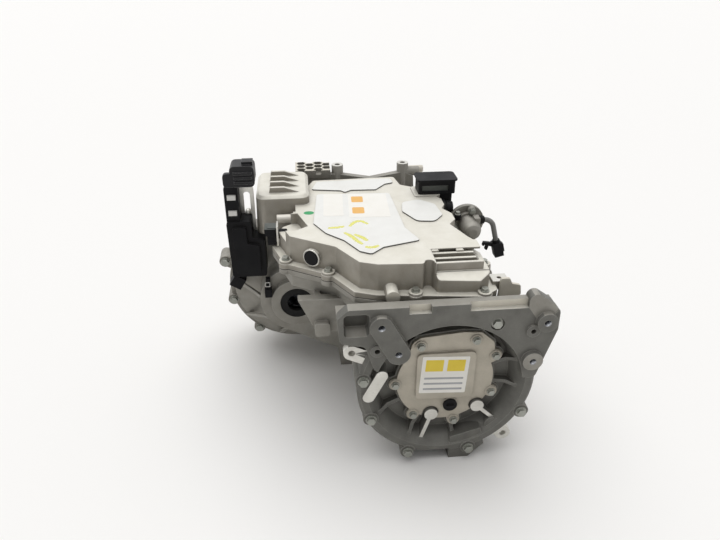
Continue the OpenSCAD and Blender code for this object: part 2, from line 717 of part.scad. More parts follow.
// Stator: laminated ring with slots, and windings with one bar per slot
slot_w = 4;
slot_in = 3;
slot_out = 24;
bar_gap = 0.4;
end_turn = 26;
module stator_core()
    color(laminate) prism_y(stator_y, stator_y + stator_len) difference() {
        circle(r = stator_r - seat_gap);
        circle(r = stator_bore_r);
        for (k = [0 : stator_slots - 1])
            rotate(k * 360 / stator_slots)
                translate([stator_bore_r + slot_in, -slot_w / 2]) square([slot_out - slot_in, slot_w]);
    }
module stator_windings() {
    inner = stator_bore_r + slot_in + bar_gap;
    outer = stator_bore_r + slot_out - bar_gap;
    color(copper) {
        prism_y(stator_y - end_turn / 2, stator_y + stator_len + end_turn / 2)
            for (k = [0 : stator_slots - 1])
                rotate(k * 360 / stator_slots)
                    translate([inner, -slot_w / 2 + bar_gap]) square([outer - inner, slot_w - 2 * bar_gap]);
        for (y = [stator_y - end_turn, stator_y + stator_len])
            ring_y(motor, inner - 1, outer + 4, y + bar_gap, y + end_turn - bar_gap);
    }
}

// Resolver in the hub of the end cover
resolver_r = hub_bore_r - 8;
module resolver_stator()
    color(laminate) ring_y(motor, 34, resolver_r, terminal_seat_y + 2, dish_floor_y);
module resolver_rotor()
    color(laminate) prism_y(terminal_seat_y + 3, dish_floor_y - 1) difference() {
        for (k = [0 : 3]) rotate(k * 90) translate([5, 0]) circle(r = 27);
        circle(r = rotor_seat_r - 4 + seat_gap);
    }

// Power electronics on the flat seat above the barrel
seat_lift = 2;
seat_z = barrel_r + seat_lift;
module_y = 140;
module_len = tray_end_y - module_y - 20;
module power_module()
    color(black_plastic) translate([-92, module_y, seat_z]) {
        cube([110, module_len, 12]);
        for (k = [0 : 2]) translate([10 + k * 34, 20, 11]) cube([22, module_len - 40, 7]);
    }
module dc_link_capacitor()
    color(black_plastic) prism_y(154, 230)
        polygon(rounded(box_pts(-182, tray_floor_z + inverter_wall, -116, top_z - inverter_wall - 14), 6));
module control_board()
    color([0.1, 0.35, 0.2]) {
        translate([-120, 130, top_z - inverter_wall - 12]) cube([130, 180, 2]);
        for (x = [-112, 0]) for (y = [140, 296])
            translate([x, y, top_z - inverter_wall - 11]) cylinder(r = 3, h = 11);
    }
module phase_busbars()
    color(copper) for (k = [0 : 2]) translate([-82 + k * 34, 120, seat_z]) {
        cube([12, 3, 15]);
        translate([0, 0, 12]) cube([12, 30, 3]);
    }

// Signal connector on the left wall of the inverter
signal_at = [-243, 214, cover_z + 26];
module signal_axis() translate(signal_at) rotate([0, 90, 0]) children();
module signal_connector()
    color(black_plastic) translate(signal_at) {
        translate([-3, -12, -17]) cube([3, 24, 34]);
        translate([-18, -10, -15]) cube([16, 20, 30]);
        translate([-22, -13, 2]) cube([17, 26, 12]);
        rotate([0, 90, 0]) cylinder(r = signal_r - seat_gap, h = 12);
    }

// Coolant inlet on the left, in front of the tower
inlet_at = [-214, 256, cover_z + 34];
inlet_r = 7;
module coolant_inlet_pipe()
    color(cast_bright) translate(inlet_at) rotate([0, -90, 0]) difference() {
        union() {
            cylinder(r = inlet_r, h = 32);
            cylinder(r = inlet_r + 4, h = 4);
        }
        translate([0, 0, 4]) cylinder(r = inlet_r - 2, h = 40);
    }

// Connectors at the right rear of the inverter
dc_box = box_pts(2, 292, 68, 330);
dc_z = [top_z + 2, top_z + 26];
dc_recess = 5;
module dc_connector()
    color(black_plastic) difference() {
        union() {
            linear_extrude_at(dc_z[0], dc_z[1] - dc_z[0]) polygon(rounded(dc_box, 5));
            translate([41, 296, dc_z[0] - 18]) cube([22, 30, 20]);
        }
        translate([8, 290, dc_z[0] + 4]) cube([48, 2 + dc_recess, 12]);
        translate([50, 300, dc_z[0] - 14]) cube([20, 22, 12]);
    }
module dc_connector_lid()
    color(black_plastic) linear_extrude_at(dc_z[1], 3) polygon(rounded(moved_in(dc_box, -3), 7));
module round_axis() translate([40.5, 280, cover_z + 32]) rotate([0, 90, 0]) children();
module round_connector()
    color(black_plastic) round_axis() {
        cylinder(r = 15, h = 6);
        cylinder(r = 11, h = 20);
        translate([0, 0, 9]) cylinder(r = 13, h = 5);
    }

// Reducer outline: circles round the three axes joined by straight sides
ring_tip_r = second_module * (ring_teeth / 2 + 1);
lay_tip_r = first_module * (first_gear_teeth / 2 + 1);
ring_room_r = ring_tip_r + 4;
lay_room_r = lay_tip_r + 5;
pinion_room_r = 50;
drum_r = 54;
drum_room_r = drum_r + 4;
motor_end_r = barrel_r - 4;
case_top_z = rear_floor_z - 3;
sump_x = [-150, 24];
module case_outline(axle_r, grow) {
    intersection() {
        union() {
            for (c = [[axle, axle_r], [lay, lay_room_r + case_wall], [motor, motor_end_r]])
                translate(c[0]) circle(r = c[1] + grow);
            polygon(belt(axle, axle_r + grow, lay, lay_room_r + case_wall + grow));
            polygon(belt(lay, lay_room_r + case_wall + grow, motor, motor_end_r + grow));
            polygon(belt(axle, axle_r + grow, motor, motor_end_r + grow));
        }
        translate([-500, -500]) square([1000, 500 + case_top_z]);
    }
    x0 = sump_x[0] - grow;
    x1 = sump_x[1] + grow;
    polygon([[x0, -80], [x0 + 8, -foot_drop], [x1 - 8, -foot_drop], [x1, -80]]);
}
module room_outline(axle_r) {
    translate(axle) circle(r = axle_r);
    translate(lay) circle(r = lay_room_r);
    translate(motor) circle(r = pinion_room_r);
    polygon(belt(axle, axle_r, lay, lay_room_r));
    polygon(belt(lay, lay_room_r, motor, pinion_room_r));
}

// Bolts round the split, far enough out for their heads
head_room = 1.05 * case_bolt + 1;
left_boss = axle + [-130, 50];
split_bolts = [
    for (a = [122, 195, 232]) axle + (ring_room_r + case_wall + head_room) * [cos(a), sin(a)],
    for (a = [-75, -40, -5, 30]) motor + (motor_end_r + head_room) * [cos(a), sin(a)],
    left_boss
];
split_boss = 16;
housing_bolts = [for (a = [-135, -105, -20, 20]) (barrel_r + head_room) * [cos(a), sin(a)]];
ear_pull = 0.85;
bell_y = [second_y - 22, second_y - 8];
axle_hub_r = 46;
axle_hub_y = rear_y - 12;
seal_r = trunnion_r + 6;
pump_at = [84, 147];
pump_r = 22;
ear_depth = 12;

// Tapered ear that carries the pump
pump_ear_t = 8;
pump_ear_foot = [74, 80];
module pump_ear_outline() {
    ear_r = pump_bolt_r + cover_bolt + 1;
    foot_r = 14;
    translate(pump_at) circle(r = ear_r);
    translate(pump_ear_foot) circle(r = foot_r);
    polygon(belt(pump_at, ear_r, pump_ear_foot, foot_r));
}

module reducer_case() {
    axle_room = drum_room_r + case_wall;
    full_r = ring_room_r + case_wall;
    floor_y = rear_y + 9;
    boss_y = front_bearing_y + bearing_w;
    color(cast_mid) difference() {
        union() {
            difference() {
                union() {
                    prism_y(rear_y, split_y) case_outline(axle_room, 0);
                    turned_y(axle)
                        polygon([[0, bell_y[0]], [axle_room + 2, bell_y[0]], [full_r, bell_y[1]],
                                 [full_r, split_y], [0, split_y]]);
                    prism_y(split_y - 10, split_y) case_outline(full_r, split_flange);
                    for (at = split_bolts) rod_y(at, case_bolt + 3, split_y - split_boss, split_y);
                    prism_y(split_y - 12, split_y) slot_shape(left_boss, axle + [-90, 30], case_bolt + 3);
                    prism_y(rear_y, rear_y + ear_depth)
                        for (at = housing_bolts) slot_shape(at, at * ear_pull, case_bolt + 4);
                    for (at = unit_bosses) rod_y(at, 8, unit_y[1] + unit_plate, bell_y[1] + 4);
                    rod_y(axle, axle_hub_r, axle_hub_y, rear_y + sink);
                    prism_y(rear_y, rear_y + pump_ear_t) pump_ear_outline();
                    for (a = [172, 213, 252])
                        translate([axle[0], 0, axle[1]]) rotate([0, -a, 0]) case_rib(axle_room, full_r);
                }
                prism_y(floor_y, bell_y[1] + sink) room_outline(drum_room_r);
                turned_y(axle)
                    polygon([[0, bell_y[0] + 9], [drum_room_r, bell_y[0] + 9], [ring_room_r, bell_y[1] + 5],
                             [ring_room_r, split_y + past], [0, split_y + past]]);
                prism_y(bell_y[1], split_y + past) {
                    translate(lay) circle(r = lay_room_r);
                    translate(motor) circle(r = pinion_room_r);
                    polygon(belt(lay, lay_room_r, motor, pinion_room_r));
                    polygon(belt(lay, lay_room_r, axle, ring_room_r));
                }
            }
            rod_y(motor, rotor_bearing[1] + 7, rear_y, boss_y);
            rod_y(lay, lay_bearing[1] + 7, rear_y, boss_y);
            rod_y(axle, axle_bearing[1] + 7, rear_y, boss_y);
        }
        rod_y(motor, rotor_bearing[1], front_bearing_y, boss_y + past);
        rod_y(motor, rotor_bearing[1] - bearing_lip, rear_y - past, front_bearing_y + past);
        rod_y(lay, lay_bearing[1], front_bearing_y, boss_y + past);
        rod_y(axle, axle_bearing[1], front_bearing_y, boss_y + past);
        rod_y(axle, seal_r, axle_hub_y - past, axle_hub_y + 12);
        rod_y(axle, trunnion_r + 3, axle_hub_y, front_bearing_y + past);
        for (at = split_bolts) rod_y(at, bolt_hole_r(case_bolt), split_y - split_boss - past, split_y + past);
        for (at = housing_bolts) rod_y(at, bolt_hole_r(case_bolt), rear_y - past, rear_y + ear_depth + past);
        for (at = pump_bolt_places)
            rod_y(at, bolt_hole_r(cover_bolt), rear_y - past, rear_y + pump_ear_t + past);
        rod_y(drain_at, plug_thread_r, axle_hub_y, floor_y + past);
    }
}

// Radial rib that runs from the front hub out to the split flange
module case_rib(inner, outer)
    rotate([0, 0, 90]) translate([0, 0, -3])
        linear_extrude(6) polygon([
            [rear_y + 2, -inner + 6], [bell_y[1], -outer + 4], [split_y - 4, -outer + 4],
            [split_y - 4, -outer - 6], [bell_y[1], -outer - 3], [rear_y + 14, -inner - 10],
            [rear_y + 2, -inner - 2]
        ]);

// Reducer cover with its bearing seats, back ribs and honeycomb bracket
top_boss_places = [[-132, 422], [-6, 422]];
top_boss_r = 11;
top_boss_z = 205;
bracket_y = [412, 426];
honeycomb = [[-212, 411], [-146, 462]];
honeycomb_z = 190;
cell = 18;
module reducer_cover() {
    full_r = ring_room_r + case_wall;
    floor_y = back_y - 9;
    boss_y = rear_bearing_y - 2;
    color(cast_mid) difference() {
        union() {
            difference() {
                union() {
                    prism_y(split_y, back_y) case_outline(full_r, 0);
                    prism_y(split_y, split_y + 10) case_outline(full_r, split_flange);
                    for (at = split_bolts) rod_y(at, case_bolt + 3, split_y, split_y + 22);
                    prism_y(split_y, split_y + 14) slot_shape(left_boss, axle + [-90, 30], case_bolt + 3);
                    rod_y(axle, axle_hub_r, back_y - sink, back_y + 12);
                    for (a = [20 : 40 : 340])
                        translate([axle[0], 0, axle[1]])
                            rotate([0, -a, 0]) cover_rib(axle_hub_r - 2, full_r - 6);
                    for (a = [0 : 45 : 315])
                        rotate([0, -a, 0]) cover_rib(tail_bearing[1] + 2, motor_end_r - 8);
                    rod_y(motor, tail_bearing[1] + 8, back_y - sink, back_y + 6);
                    rod_y(lay, lay_bearing[1] + 8, back_y - sink, back_y + 6);
                    translate([breather_at[0], breather_at[1], breather_z - 20]) cylinder(r = 8, h = 20);
                }
                prism_y(split_y - past, floor_y) room_outline(ring_room_r);
            }
            rod_y(motor, tail_bearing[1] + 7, boss_y, back_y);
            rod_y(lay, lay_bearing[1] + 7, boss_y, back_y);
            rod_y(axle, axle_bearing[1] + 7, boss_y, back_y);
            top_bracket();
        }
        rod_y(motor, tail_bearing[1], boss_y - past, rear_bearing_y + bearing_w);
        rod_y(lay, lay_bearing[1], boss_y - past, rear_bearing_y + bearing_w);
        rod_y(axle, axle_bearing[1], boss_y - past, rear_bearing_y + bearing_w);
        rod_y(axle, seal_r, back_y, back_y + 12 + past);
        rod_y(axle, trunnion_r + 3, rear_bearing_y, back_y + past);
        for (at = split_bolts) rod_y(at, bolt_hole_r(case_bolt), split_y - past, split_y + 18);
        for (at = top_boss_places)
            translate([at[0], at[1], top_boss_z - mount_depth])
                cylinder(r = mount_core_r, h = mount_depth + past);
        rod_y(fill_at, plug_thread_r, floor_y - past, back_y + past);
        translate([breather_at[0], breather_at[1], breather_z - 14]) cylinder(r = 4, h = 20);
    }
}

// Radial rib on the back of the reducer cover
module cover_rib(inner, outer)
    rotate([0, 0, 90]) translate([0, 0, -3])
        linear_extrude(6)
            polygon([[back_y - 2, -inner], [back_y + 8, -inner], [back_y + 3, -outer], [back_y - 2, -outer]]);

// Wall that carries the two top bosses, with a honeycomb deck at its left end
module top_bracket() {
    prism_y(bracket_y[0], bracket_y[1])
        polygon([[-212, case_top_z - 30], [-212, honeycomb_z], [-132, top_boss_z - 16], [-70, 178],
                 [-6, top_boss_z - 16], [14, 180], [20, case_top_z - 30]]);
    for (at = top_boss_places)
        translate([at[0], at[1], case_top_z - 20]) cylinder(r = top_boss_r, h = top_boss_z - case_top_z + 20);
    translate([-6, 422, top_boss_z - 18]) rotate([0, 90, 0]) cylinder(r = 9, h = 32);
    translate([honeycomb[0][0], honeycomb[0][1], honeycomb_z - 8])
        cube([honeycomb[1][0] - honeycomb[0][0], honeycomb[1][1] - honeycomb[0][1], 8]);
    for (x = [honeycomb[0][0], honeycomb[1][0] - 8])
        translate([x + 8, 0, 0]) rotate([0, -90, 0]) linear_extrude(8)
            polygon([[case_top_z - 10, back_y - 8], [honeycomb_z - 4, bracket_y[0]],
                     [honeycomb_z - 4, honeycomb[1][1] - 4], [case_top_z - 10, back_y - 2]]);
    linear_extrude_at(honeycomb_z - sink, 9) difference() {
        polygon(box_pts(honeycomb[0][0], honeycomb[0][1], honeycomb[1][0], honeycomb[1][1]));
        translate(honeycomb[0] + [11, 7])
            for (i = [0 : 3]) for (j = [0 : 3])
                translate(cell * [0.9 * i, j + (i % 2) * 0.5]) circle(r = cell * 0.5, $fn = 6);
    }
}

// Bolts of the split and of the joint between motor and reducer
module case_bolts()
    color(steel) {
        for (at = split_bolts) front_bolt(at, split_y - split_boss, case_bolt, split_boss + 14);
        for (at = housing_bolts) front_bolt(at, rear_y - ear_depth, case_bolt, 2 * ear_depth - 1);
    }

module front_axle_seal() axle_seal(axle_hub_y);
module rear_axle_seal() axle_seal(back_y);
module axle_seal(y0)
    color(rubber) ring_y(axle, trunnion_bore_r + 1, seal_r - seat_gap, y0 + 1, y0 + 10);

// Oil plugs: drain at the front of the sump, fill on the back of the cover
plug_thread_r = 8;
drain_at = [-70, -132];
fill_at = axle + 80 * [cos(240), sin(240)];
module oil_drain_plug()
    color(steel) {
        rod_y(drain_at, plug_thread_r - seat_gap, rear_y - sink, rear_y + 8);
        translate([drain_at[0], rear_y, drain_at[1]]) rotate([90, 0, 0]) cylinder(r = 12, h = 3);
        translate([drain_at[0], rear_y - 2, drain_at[1]])
            rotate([90, 0, 0]) cylinder(r = 9.5, h = 8, $fn = 6);
    }
module oil_fill_plug()
    color(steel) {
        rod_y(fill_at, plug_thread_r - seat_gap, back_y - 8, back_y + sink);
        rod_y(fill_at, 12, back_y, back_y + 3);
        translate([fill_at[0], back_y + 2, fill_at[1]]) rotate([-90, 0, 0]) cylinder(r = 9.5, h = 8, $fn = 6);
    }
breather_at = [20, 380];
breather_z = motor_end_r + 2;
module breather_cap()
    color(black_plastic) translate([breather_at[0], breather_at[1], breather_z]) {
        translate([0, 0, -10]) cylinder(r = 4 - seat_gap, h = 12);
        cylinder(r = 6, h = 6);
        translate([0, 0, 5]) cylinder(r = 9, h = 8);
    }

// Electric oil pump on the ear at the right of the reducer case
pump_bolt_r = pump_r + 2;
pump_bolt_places = [for (a = [75, 195, 315]) pump_at + pump_bolt_r * [cos(a), sin(a)]];
pump_len = 48;
gland_at = [99.6, 240, 160];
gland_len = 5;
module oil_pump_body() {
    body_r = pump_r - 6;
    dome_y = rear_y - pump_len;
    color(cast_bright) difference() {
        union() {
            turned_y(pump_at)
                polygon([[0, rear_y], [body_r, rear_y], [body_r, dome_y + 10], [body_r - 3, dome_y + 3],
                         [body_r - 9, dome_y], [0, dome_y]]);
            rod_y(pump_at, pump_r - 2, rear_y - 8, rear_y);
            for (at = pump_bolt_places) rod_y(at, cover_bolt + 1, rear_y - 8, rear_y);
            translate([gland_at[0] - 10, gland_at[1] - 8, gland_at[2] - 10]) cube([10, 16, 16]);
        }
        for (at = pump_bolt_places) rod_y(at, bolt_hole_r(cover_bolt), rear_y - 8 - past, rear_y + past);
    }
}
module oil_pump_bolts()
    color(steel) for (at = pump_bolt_places) front_bolt(at, rear_y - 8, cover_bolt, 8 + pump_ear_t);

// Cable of the oil pump: gland, corrugated tube and plug
cable_lead = 4;
cable_bend = 2 * cable_d;
cable_turn = 75;
cable_drop = 27;
cable_steps = 6;
bend_end = [cable_lead + cable_bend * sin(cable_turn), -cable_bend * (1 - cos(cable_turn))];
cable_run = concat(
    [[0, 0]],
    [for (k = [0 : cable_steps]) let (a = cable_turn * k / cable_steps)
        [cable_lead + cable_bend * sin(a), -cable_bend * (1 - cos(a))]],
    [bend_end + cable_drop * [cos(cable_turn), -sin(cable_turn)]]
);
cable_route = [for (p = cable_run) gland_at + [gland_len + p[0], 0, p[1]]];
cable_end = cable_route[len(cable_route) - 1];
plug_dir = unit(cable_end - cable_route[len(cable_route) - 2]);
module pump_cable_gland()
    color(black_plastic) translate(gland_at) rotate([0, 90, 0]) cylinder(r = 7.5, h = gland_len);
module pump_cable() color(laminate) tube(cable_route, cable_d / 2);
module pump_cable_connector()
    color(black_plastic) translate(cable_end) rotate([0, acos(plug_dir[2]), 0]) {
        cylinder(r = 6.5, h = 6);
        translate([-8, -9, 5]) cube([16, 18, 26]);
        translate([-11, -5, 10]) cube([4, 10, 15]);
    }

// Black control unit at the left of the reducer, on a slotted bracket
unit_y = [rear_y, rear_y + 38];
unit_plate = 6;
unit_bosses = [axle + [-76, 80], axle + [-98, 52]];
unit_pts = [[-330, 58], [-270, 58], [-270, 128], [-290, 132], [-290, 164], [-332, 164]];
column_pts = box_pts(-331, 160, -308, 226);
cap_pts = box_pts(-318, 226, -278, 262);
module control_unit_body()
    color(black_plastic) {
        prism_y(unit_y[0], unit_y[1]) polygon(rounded(unit_pts, 5));
        prism_y(unit_y[0] - 6, unit_y[0] + sink) polygon(rounded(moved_in(unit_pts, 9), 4));
        prism_y(unit_y[0] + 4, unit_y[1] - 8) polygon(rounded(column_pts, 4));
        for (z = [176, 204]) translate([-326, unit_y[0] - 1, z]) cube([14, 6, 8]);
    }
module control_unit_cap()
    color(black_plastic) {
        prism_y(unit_y[0], unit_y[1]) polygon(rounded(cap_pts, 8));
        prism_y(unit_y[0], unit_y[0] + 8) polygon(rounded(box_pts(-330, 226.2, -310, 250), 6));
        for (z = [232, 240, 248]) translate([-312, unit_y[0] - 3, z]) cube([30, 4, 4]);
        translate([-298, unit_y[0] + 8, 260]) cube([18, 18, 7]);
    }
module control_unit_plug()
    color(black_plastic) translate([-312, unit_y[0] + 18, 58]) rotate([0, 32, 0]) {
        translate([-13, -12, -30]) cube([22, 24, 22]);
        translate([-8, -8, -10]) cube([14, 16, 4.9]);
    }
module control_unit_bracket()
    color(cast_bright) prism_y(unit_y[1], unit_y[1] + unit_plate) difference() {
        polygon(rounded([[-336, 62], [-306, 48], [-285, 80], [-285, 214], [-310, 214],
                         [-316, 160], [-336, 120]], 6));
        slot_shape([-297, 166], [-297, 198], 5.5);
    }
module wiring_clip()
    color(black_plastic) {
        translate([-273, rear_y - 9, 34]) cube([7, 9, 22]);
        translate([-276, rear_y - 13, 20]) cube([12, 12, 16]);
    }

// Bearings that stay with the castings
module bearing_outer_rings()
    color(steel) {
        bearing_outer(motor, rotor_bearing, joint_y);
        bearing_outer(motor, rotor_bearing, front_bearing_y);
        bearing_outer(motor, tail_bearing, rear_bearing_y);
        for (y = [front_bearing_y, rear_bearing_y]) {
            bearing_outer(lay, lay_bearing, y);
            bearing_outer(axle, axle_bearing, y);
        }
    }

// Rotor
core_bore_r = 30;
pinion_bore_r = 18;
module rotor_shaft() {
    s = rotor_seat_r;
    core_y = [stator_y + 1, stator_y + stator_len - 1];
    color(steel) turned_y(motor) polygon([
        [0, terminal_seat_y + 2], [s - 4, terminal_seat_y + 2], [s - 4, joint_y], [s, joint_y],
        [s, joint_y + bearing_w], [s + 4, joint_y + bearing_w], [s + 4, core_y[0]], [core_bore_r, core_y[0]],
        [core_bore_r, core_y[1]], [s + 4, core_y[1]], [s + 4, front_bearing_y], [s, front_bearing_y],
        [s, first_y], [pinion_bore_r, first_y], [pinion_bore_r, first_y + first_width],
        [tail_bearing[0] + 3, first_y + first_width], [tail_bearing[0] + 3, rear_bearing_y],
        [tail_bearing[0], rear_bearing_y], [tail_bearing[0], rear_bearing_y + bearing_w],
        [0, rear_bearing_y + bearing_w]
    ]);
}
module rotor_core()
    color(laminate) prism_y(stator_y + 1, stator_y + stator_len - 1) difference() {
        circle(r = stator_bore_r - air_gap);
        circle(r = core_bore_r + seat_gap);
        for (k = [0 : 7]) rotate(k * 45) {
            rotate(12) translate([52, -9]) square([4, 18]);
            rotate(-12) translate([52, -9]) square([4, 18]);
            translate([42, 0]) circle(r = 5);
        }
    }
module input_pinion()
    color(gear_steel)
        helical_gear(motor, pinion_teeth, first_module, first_y, first_width, 1, first_angle,
                     pinion_bore_r + seat_gap);
module rotor_bearing_inners()
    color(steel) {
        bearing_inner(motor, rotor_bearing, joint_y);
        bearing_inner(motor, rotor_bearing, front_bearing_y);
        bearing_inner(motor, tail_bearing, rear_bearing_y);
    }

// Layshaft
lay_seat_r = 22;
module layshaft()
    color(steel) turned_y(lay) polygon([
        [0, front_bearing_y], [lay_bearing[0], front_bearing_y],
        [lay_bearing[0], front_bearing_y + bearing_w], [lay_seat_r, front_bearing_y + bearing_w],
        [lay_seat_r, first_y + first_width],
        [lay_seat_r + 2, first_y + first_width], [lay_seat_r + 2, second_y], [lay_seat_r, second_y],
        [lay_seat_r, rear_bearing_y], [lay_bearing[0], rear_bearing_y],
        [lay_bearing[0], rear_bearing_y + bearing_w], [0, rear_bearing_y + bearing_w]
    ]);
module layshaft_gear()
    color(gear_steel) difference() {
        helical_gear(lay, first_gear_teeth, first_module, first_y, first_width, -1,
                     first_angle + 180 + 180 / first_gear_teeth, lay_seat_r + seat_gap);
        for (k = [0 : 5])
            rod_y(lay + 48 * [cos(k * 60), sin(k * 60)], 11, first_y - past, first_y + first_width + past);
    }
module layshaft_pinion()
    color(gear_steel)
        helical_gear(lay, second_pinion_teeth, second_module, second_y, second_width, -1, second_angle,
                     lay_seat_r + seat_gap);
module layshaft_bearing_inners()
    color(steel) for (y = [front_bearing_y, rear_bearing_y]) bearing_inner(lay, lay_bearing, y);

// Differential: case with two trunnions, flange for the ring gear and two windows
ring_bore_r = 76;
ring_flange_r = 93;
ring_flange_t = 10;
ring_bolt_r = 85;
diff_room_r = 46;
module differential_case() {
    y0 = front_bearing_y;
    y1 = rear_bearing_y + bearing_w;
    c = axle_centre_y;
    room = planet_pitch_r + side_back + running_gap;
    hub = side_end + running_gap;
    seat = second_y + second_width;
    color(gear_steel) difference() {
        union() {
            turned_y(axle) polygon([
                [trunnion_bore_r, y0], [trunnion_r, y0], [trunnion_r, y0 + bearing_w],
                [trunnion_r + 6, y0 + bearing_w],
                [drum_r, c - room - 10], [drum_r, seat - 18], [ring_bore_r - seat_gap, seat - 16],
                [ring_bore_r - seat_gap, seat], [ring_flange_r, seat], [ring_flange_r, seat + ring_flange_t],
                [drum_r, seat + ring_flange_t], [drum_r, c + room + 12],
                [trunnion_r + 6, y1 - bearing_w], [trunnion_r, y1 - bearing_w], [trunnion_r, y1],
                [trunnion_bore_r, y1], [trunnion_bore_r, c + hub], [side_hub_r + running_gap, c + hub],
                [side_hub_r + running_gap, c + room], [diff_room_r, c + room], [diff_room_r, c - room],
                [side_hub_r + running_gap, c - room], [side_hub_r + running_gap, c - hub],
                [trunnion_bore_r, c - hub]
            ]);
            translate([axle[0] - drum_r + 2, c, axle[1]])
                rotate([0, 90, 0]) cylinder(r = planet_pin_r, h = 2 * drum_r - 4);
        }
        translate([axle[0], c, axle[1] - drum_r - 30]) cylinder(r = 20, h = 42);
        translate([axle[0], c, axle[1] + drum_r - 12]) cylinder(r = 20, h = 42);
        for (k = [0 : 9])
            rod_y(axle + ring_bolt_r * [cos(k * 36), sin(k * 36)], bolt_hole_r(case_bolt),
                  seat - past, seat + ring_flange_t + past);
    }
}
module ring_gear()
    color(gear_steel) union() {
        helical_gear(axle, ring_teeth, second_module, second_y, second_width, 1,
                     second_angle + 180 + 180 / ring_teeth, ring_bore_r);
        for (k = [0 : 9])
            translate([axle[0], 0, axle[1]]) rotate([0, -k * 36, 0])
                translate([ring_bolt_r, second_y + second_width + ring_flange_t, 0])
                    rotate([-90, 0, 0]) hex_bolt(case_bolt, ring_flange_t + sink);
    }
module differential_bearing_inners()
    color(steel) for (y = [front_bearing_y, rear_bearing_y]) bearing_inner(axle, axle_bearing, y);

// Side gear about the axle, drawn along +Z from the centre of the differential
module side_gear() {
    plane = planet_pitch_r;
    inner = plane * (1 - bevel_face);
    difference() {
        union() {
            bevel_teeth(side_teeth, side_pitch_r, plane, 180 / side_teeth);
            translate([0, 0, planet_reach + running_gap])
                cylinder(r = diff_room_r - 5, h = plane + side_back - planet_reach - running_gap);
            translate([0, 0, plane]) cylinder(r = side_hub_r, h = side_back + side_hub);
            translate([0, 0, plane - sink]) cylinder(r = side_hub_r - 1, h = 2 * sink);
        }
        translate([0, 0, inner - past]) cylinder(r = axle_bore_r, h = side_end);
    }
}
module front_side_gear()
    color(gear_steel) translate([axle[0], axle_centre_y, axle[1]]) rotate([90, 0, 0]) side_gear();
module rear_side_gear()
    color(gear_steel) translate([axle[0], axle_centre_y, axle[1]]) rotate([-90, 0, 0]) side_gear();

// Two planet gears on the cross pin
module left_planet_gear()
    color(gear_steel) translate([axle[0], axle_centre_y, axle[1]]) rotate([0, -90, 0]) planet_gear();
module right_planet_gear()
    color(gear_steel) translate([axle[0], axle_centre_y, axle[1]]) rotate([0, 90, 0]) planet_gear();
planet_back = 12;
module planet_gear() {
    plane = side_pitch_r;
    difference() {
        union() {
            bevel_teeth(planet_teeth, planet_pitch_r, plane, 90);
            translate([0, 0, plane - sink]) cylinder(r = planet_root_r - running_gap, h = planet_back + sink);
        }
        cylinder(r = planet_pin_r + running_gap, h = 3 * plane);
    }
}

from_motor() motor_housing();
from_motor() motor_end_cover();
from_motor() end_cover_bolts();
from_motor() terminal_cover();
from_motor() terminal_cover_bolts();
from_motor() terminal_plug();
from_motor() stator_core();
from_motor() stator_windings();
from_motor() resolver_stator();
from_motor() inverter_cover();
from_motor() inverter_gasket();
from_motor() inverter_cover_bolts();
from_motor() inverter_side_plug();
from_motor() rear_damping_sheet();
from_motor() main_damping_sheet();
from_motor() round_damping_sheet();
from_motor() power_module();
from_motor() dc_link_capacitor();
from_motor() control_board();
from_motor() phase_busbars();
from_motor() signal_connector();
from_motor() coolant_inlet_pipe();
from_motor() dc_connector();
from_motor() dc_connector_lid();
from_motor() round_connector();
from_motor() reducer_case();
from_motor() reducer_cover();
from_motor() case_bolts();
from_motor() front_axle_seal();
from_motor() rear_axle_seal();
from_motor() oil_fill_plug();
from_motor() oil_drain_plug();
from_motor() breather_cap();
from_motor() oil_pump_body();
from_motor() oil_pump_bolts();
from_motor() pump_cable_gland();
from_motor() pump_cable();
from_motor() pump_cable_connector();
from_motor() control_unit_body();
from_motor() control_unit_cap();
from_motor() control_unit_plug();
from_motor() control_unit_bracket();
from_motor() wiring_clip();
from_motor() bearing_outer_rings();
from_motor() rotor_shaft();
from_motor() rotor_core();
from_motor() input_pinion();
from_motor() resolver_rotor();
from_motor() rotor_bearing_inners();
from_motor() layshaft();
from_motor() layshaft_gear();
from_motor() layshaft_pinion();
from_motor() layshaft_bearing_inners();
from_motor() differential_case();
from_motor() ring_gear();
from_motor() differential_bearing_inners();
from_motor() front_side_gear();
from_motor() rear_side_gear();
from_motor() left_planet_gear();
from_motor() right_planet_gear();
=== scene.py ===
"""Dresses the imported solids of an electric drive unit: finishes, labels, threads, cable and studio."""

import logging
import math
from dataclasses import dataclass, replace
from enum import Enum
from typing import Iterable, Sequence

import bmesh
import bpy
from mathutils import Matrix, Vector


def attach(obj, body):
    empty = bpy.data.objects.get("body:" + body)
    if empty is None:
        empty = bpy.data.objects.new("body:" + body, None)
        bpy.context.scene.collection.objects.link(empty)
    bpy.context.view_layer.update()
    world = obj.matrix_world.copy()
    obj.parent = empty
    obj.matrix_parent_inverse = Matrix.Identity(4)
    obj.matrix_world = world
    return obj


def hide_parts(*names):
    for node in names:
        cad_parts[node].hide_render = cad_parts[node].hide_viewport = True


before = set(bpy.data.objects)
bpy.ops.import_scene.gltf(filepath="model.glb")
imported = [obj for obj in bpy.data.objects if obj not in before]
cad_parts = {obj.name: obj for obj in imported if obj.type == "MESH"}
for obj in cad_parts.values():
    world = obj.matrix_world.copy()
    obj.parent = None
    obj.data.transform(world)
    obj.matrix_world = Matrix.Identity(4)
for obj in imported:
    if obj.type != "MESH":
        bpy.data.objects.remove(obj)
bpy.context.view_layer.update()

logging.basicConfig(level=logging.INFO, format="%(message)s")
LOG = logging.getLogger("drive_unit")

Socket = bpy.types.NodeSocket
Mesh = bmesh.types.BMesh
Pair = tuple[float, float]
Pairs = tuple[Pair, ...]
Point = Colour = tuple[float, float, float]

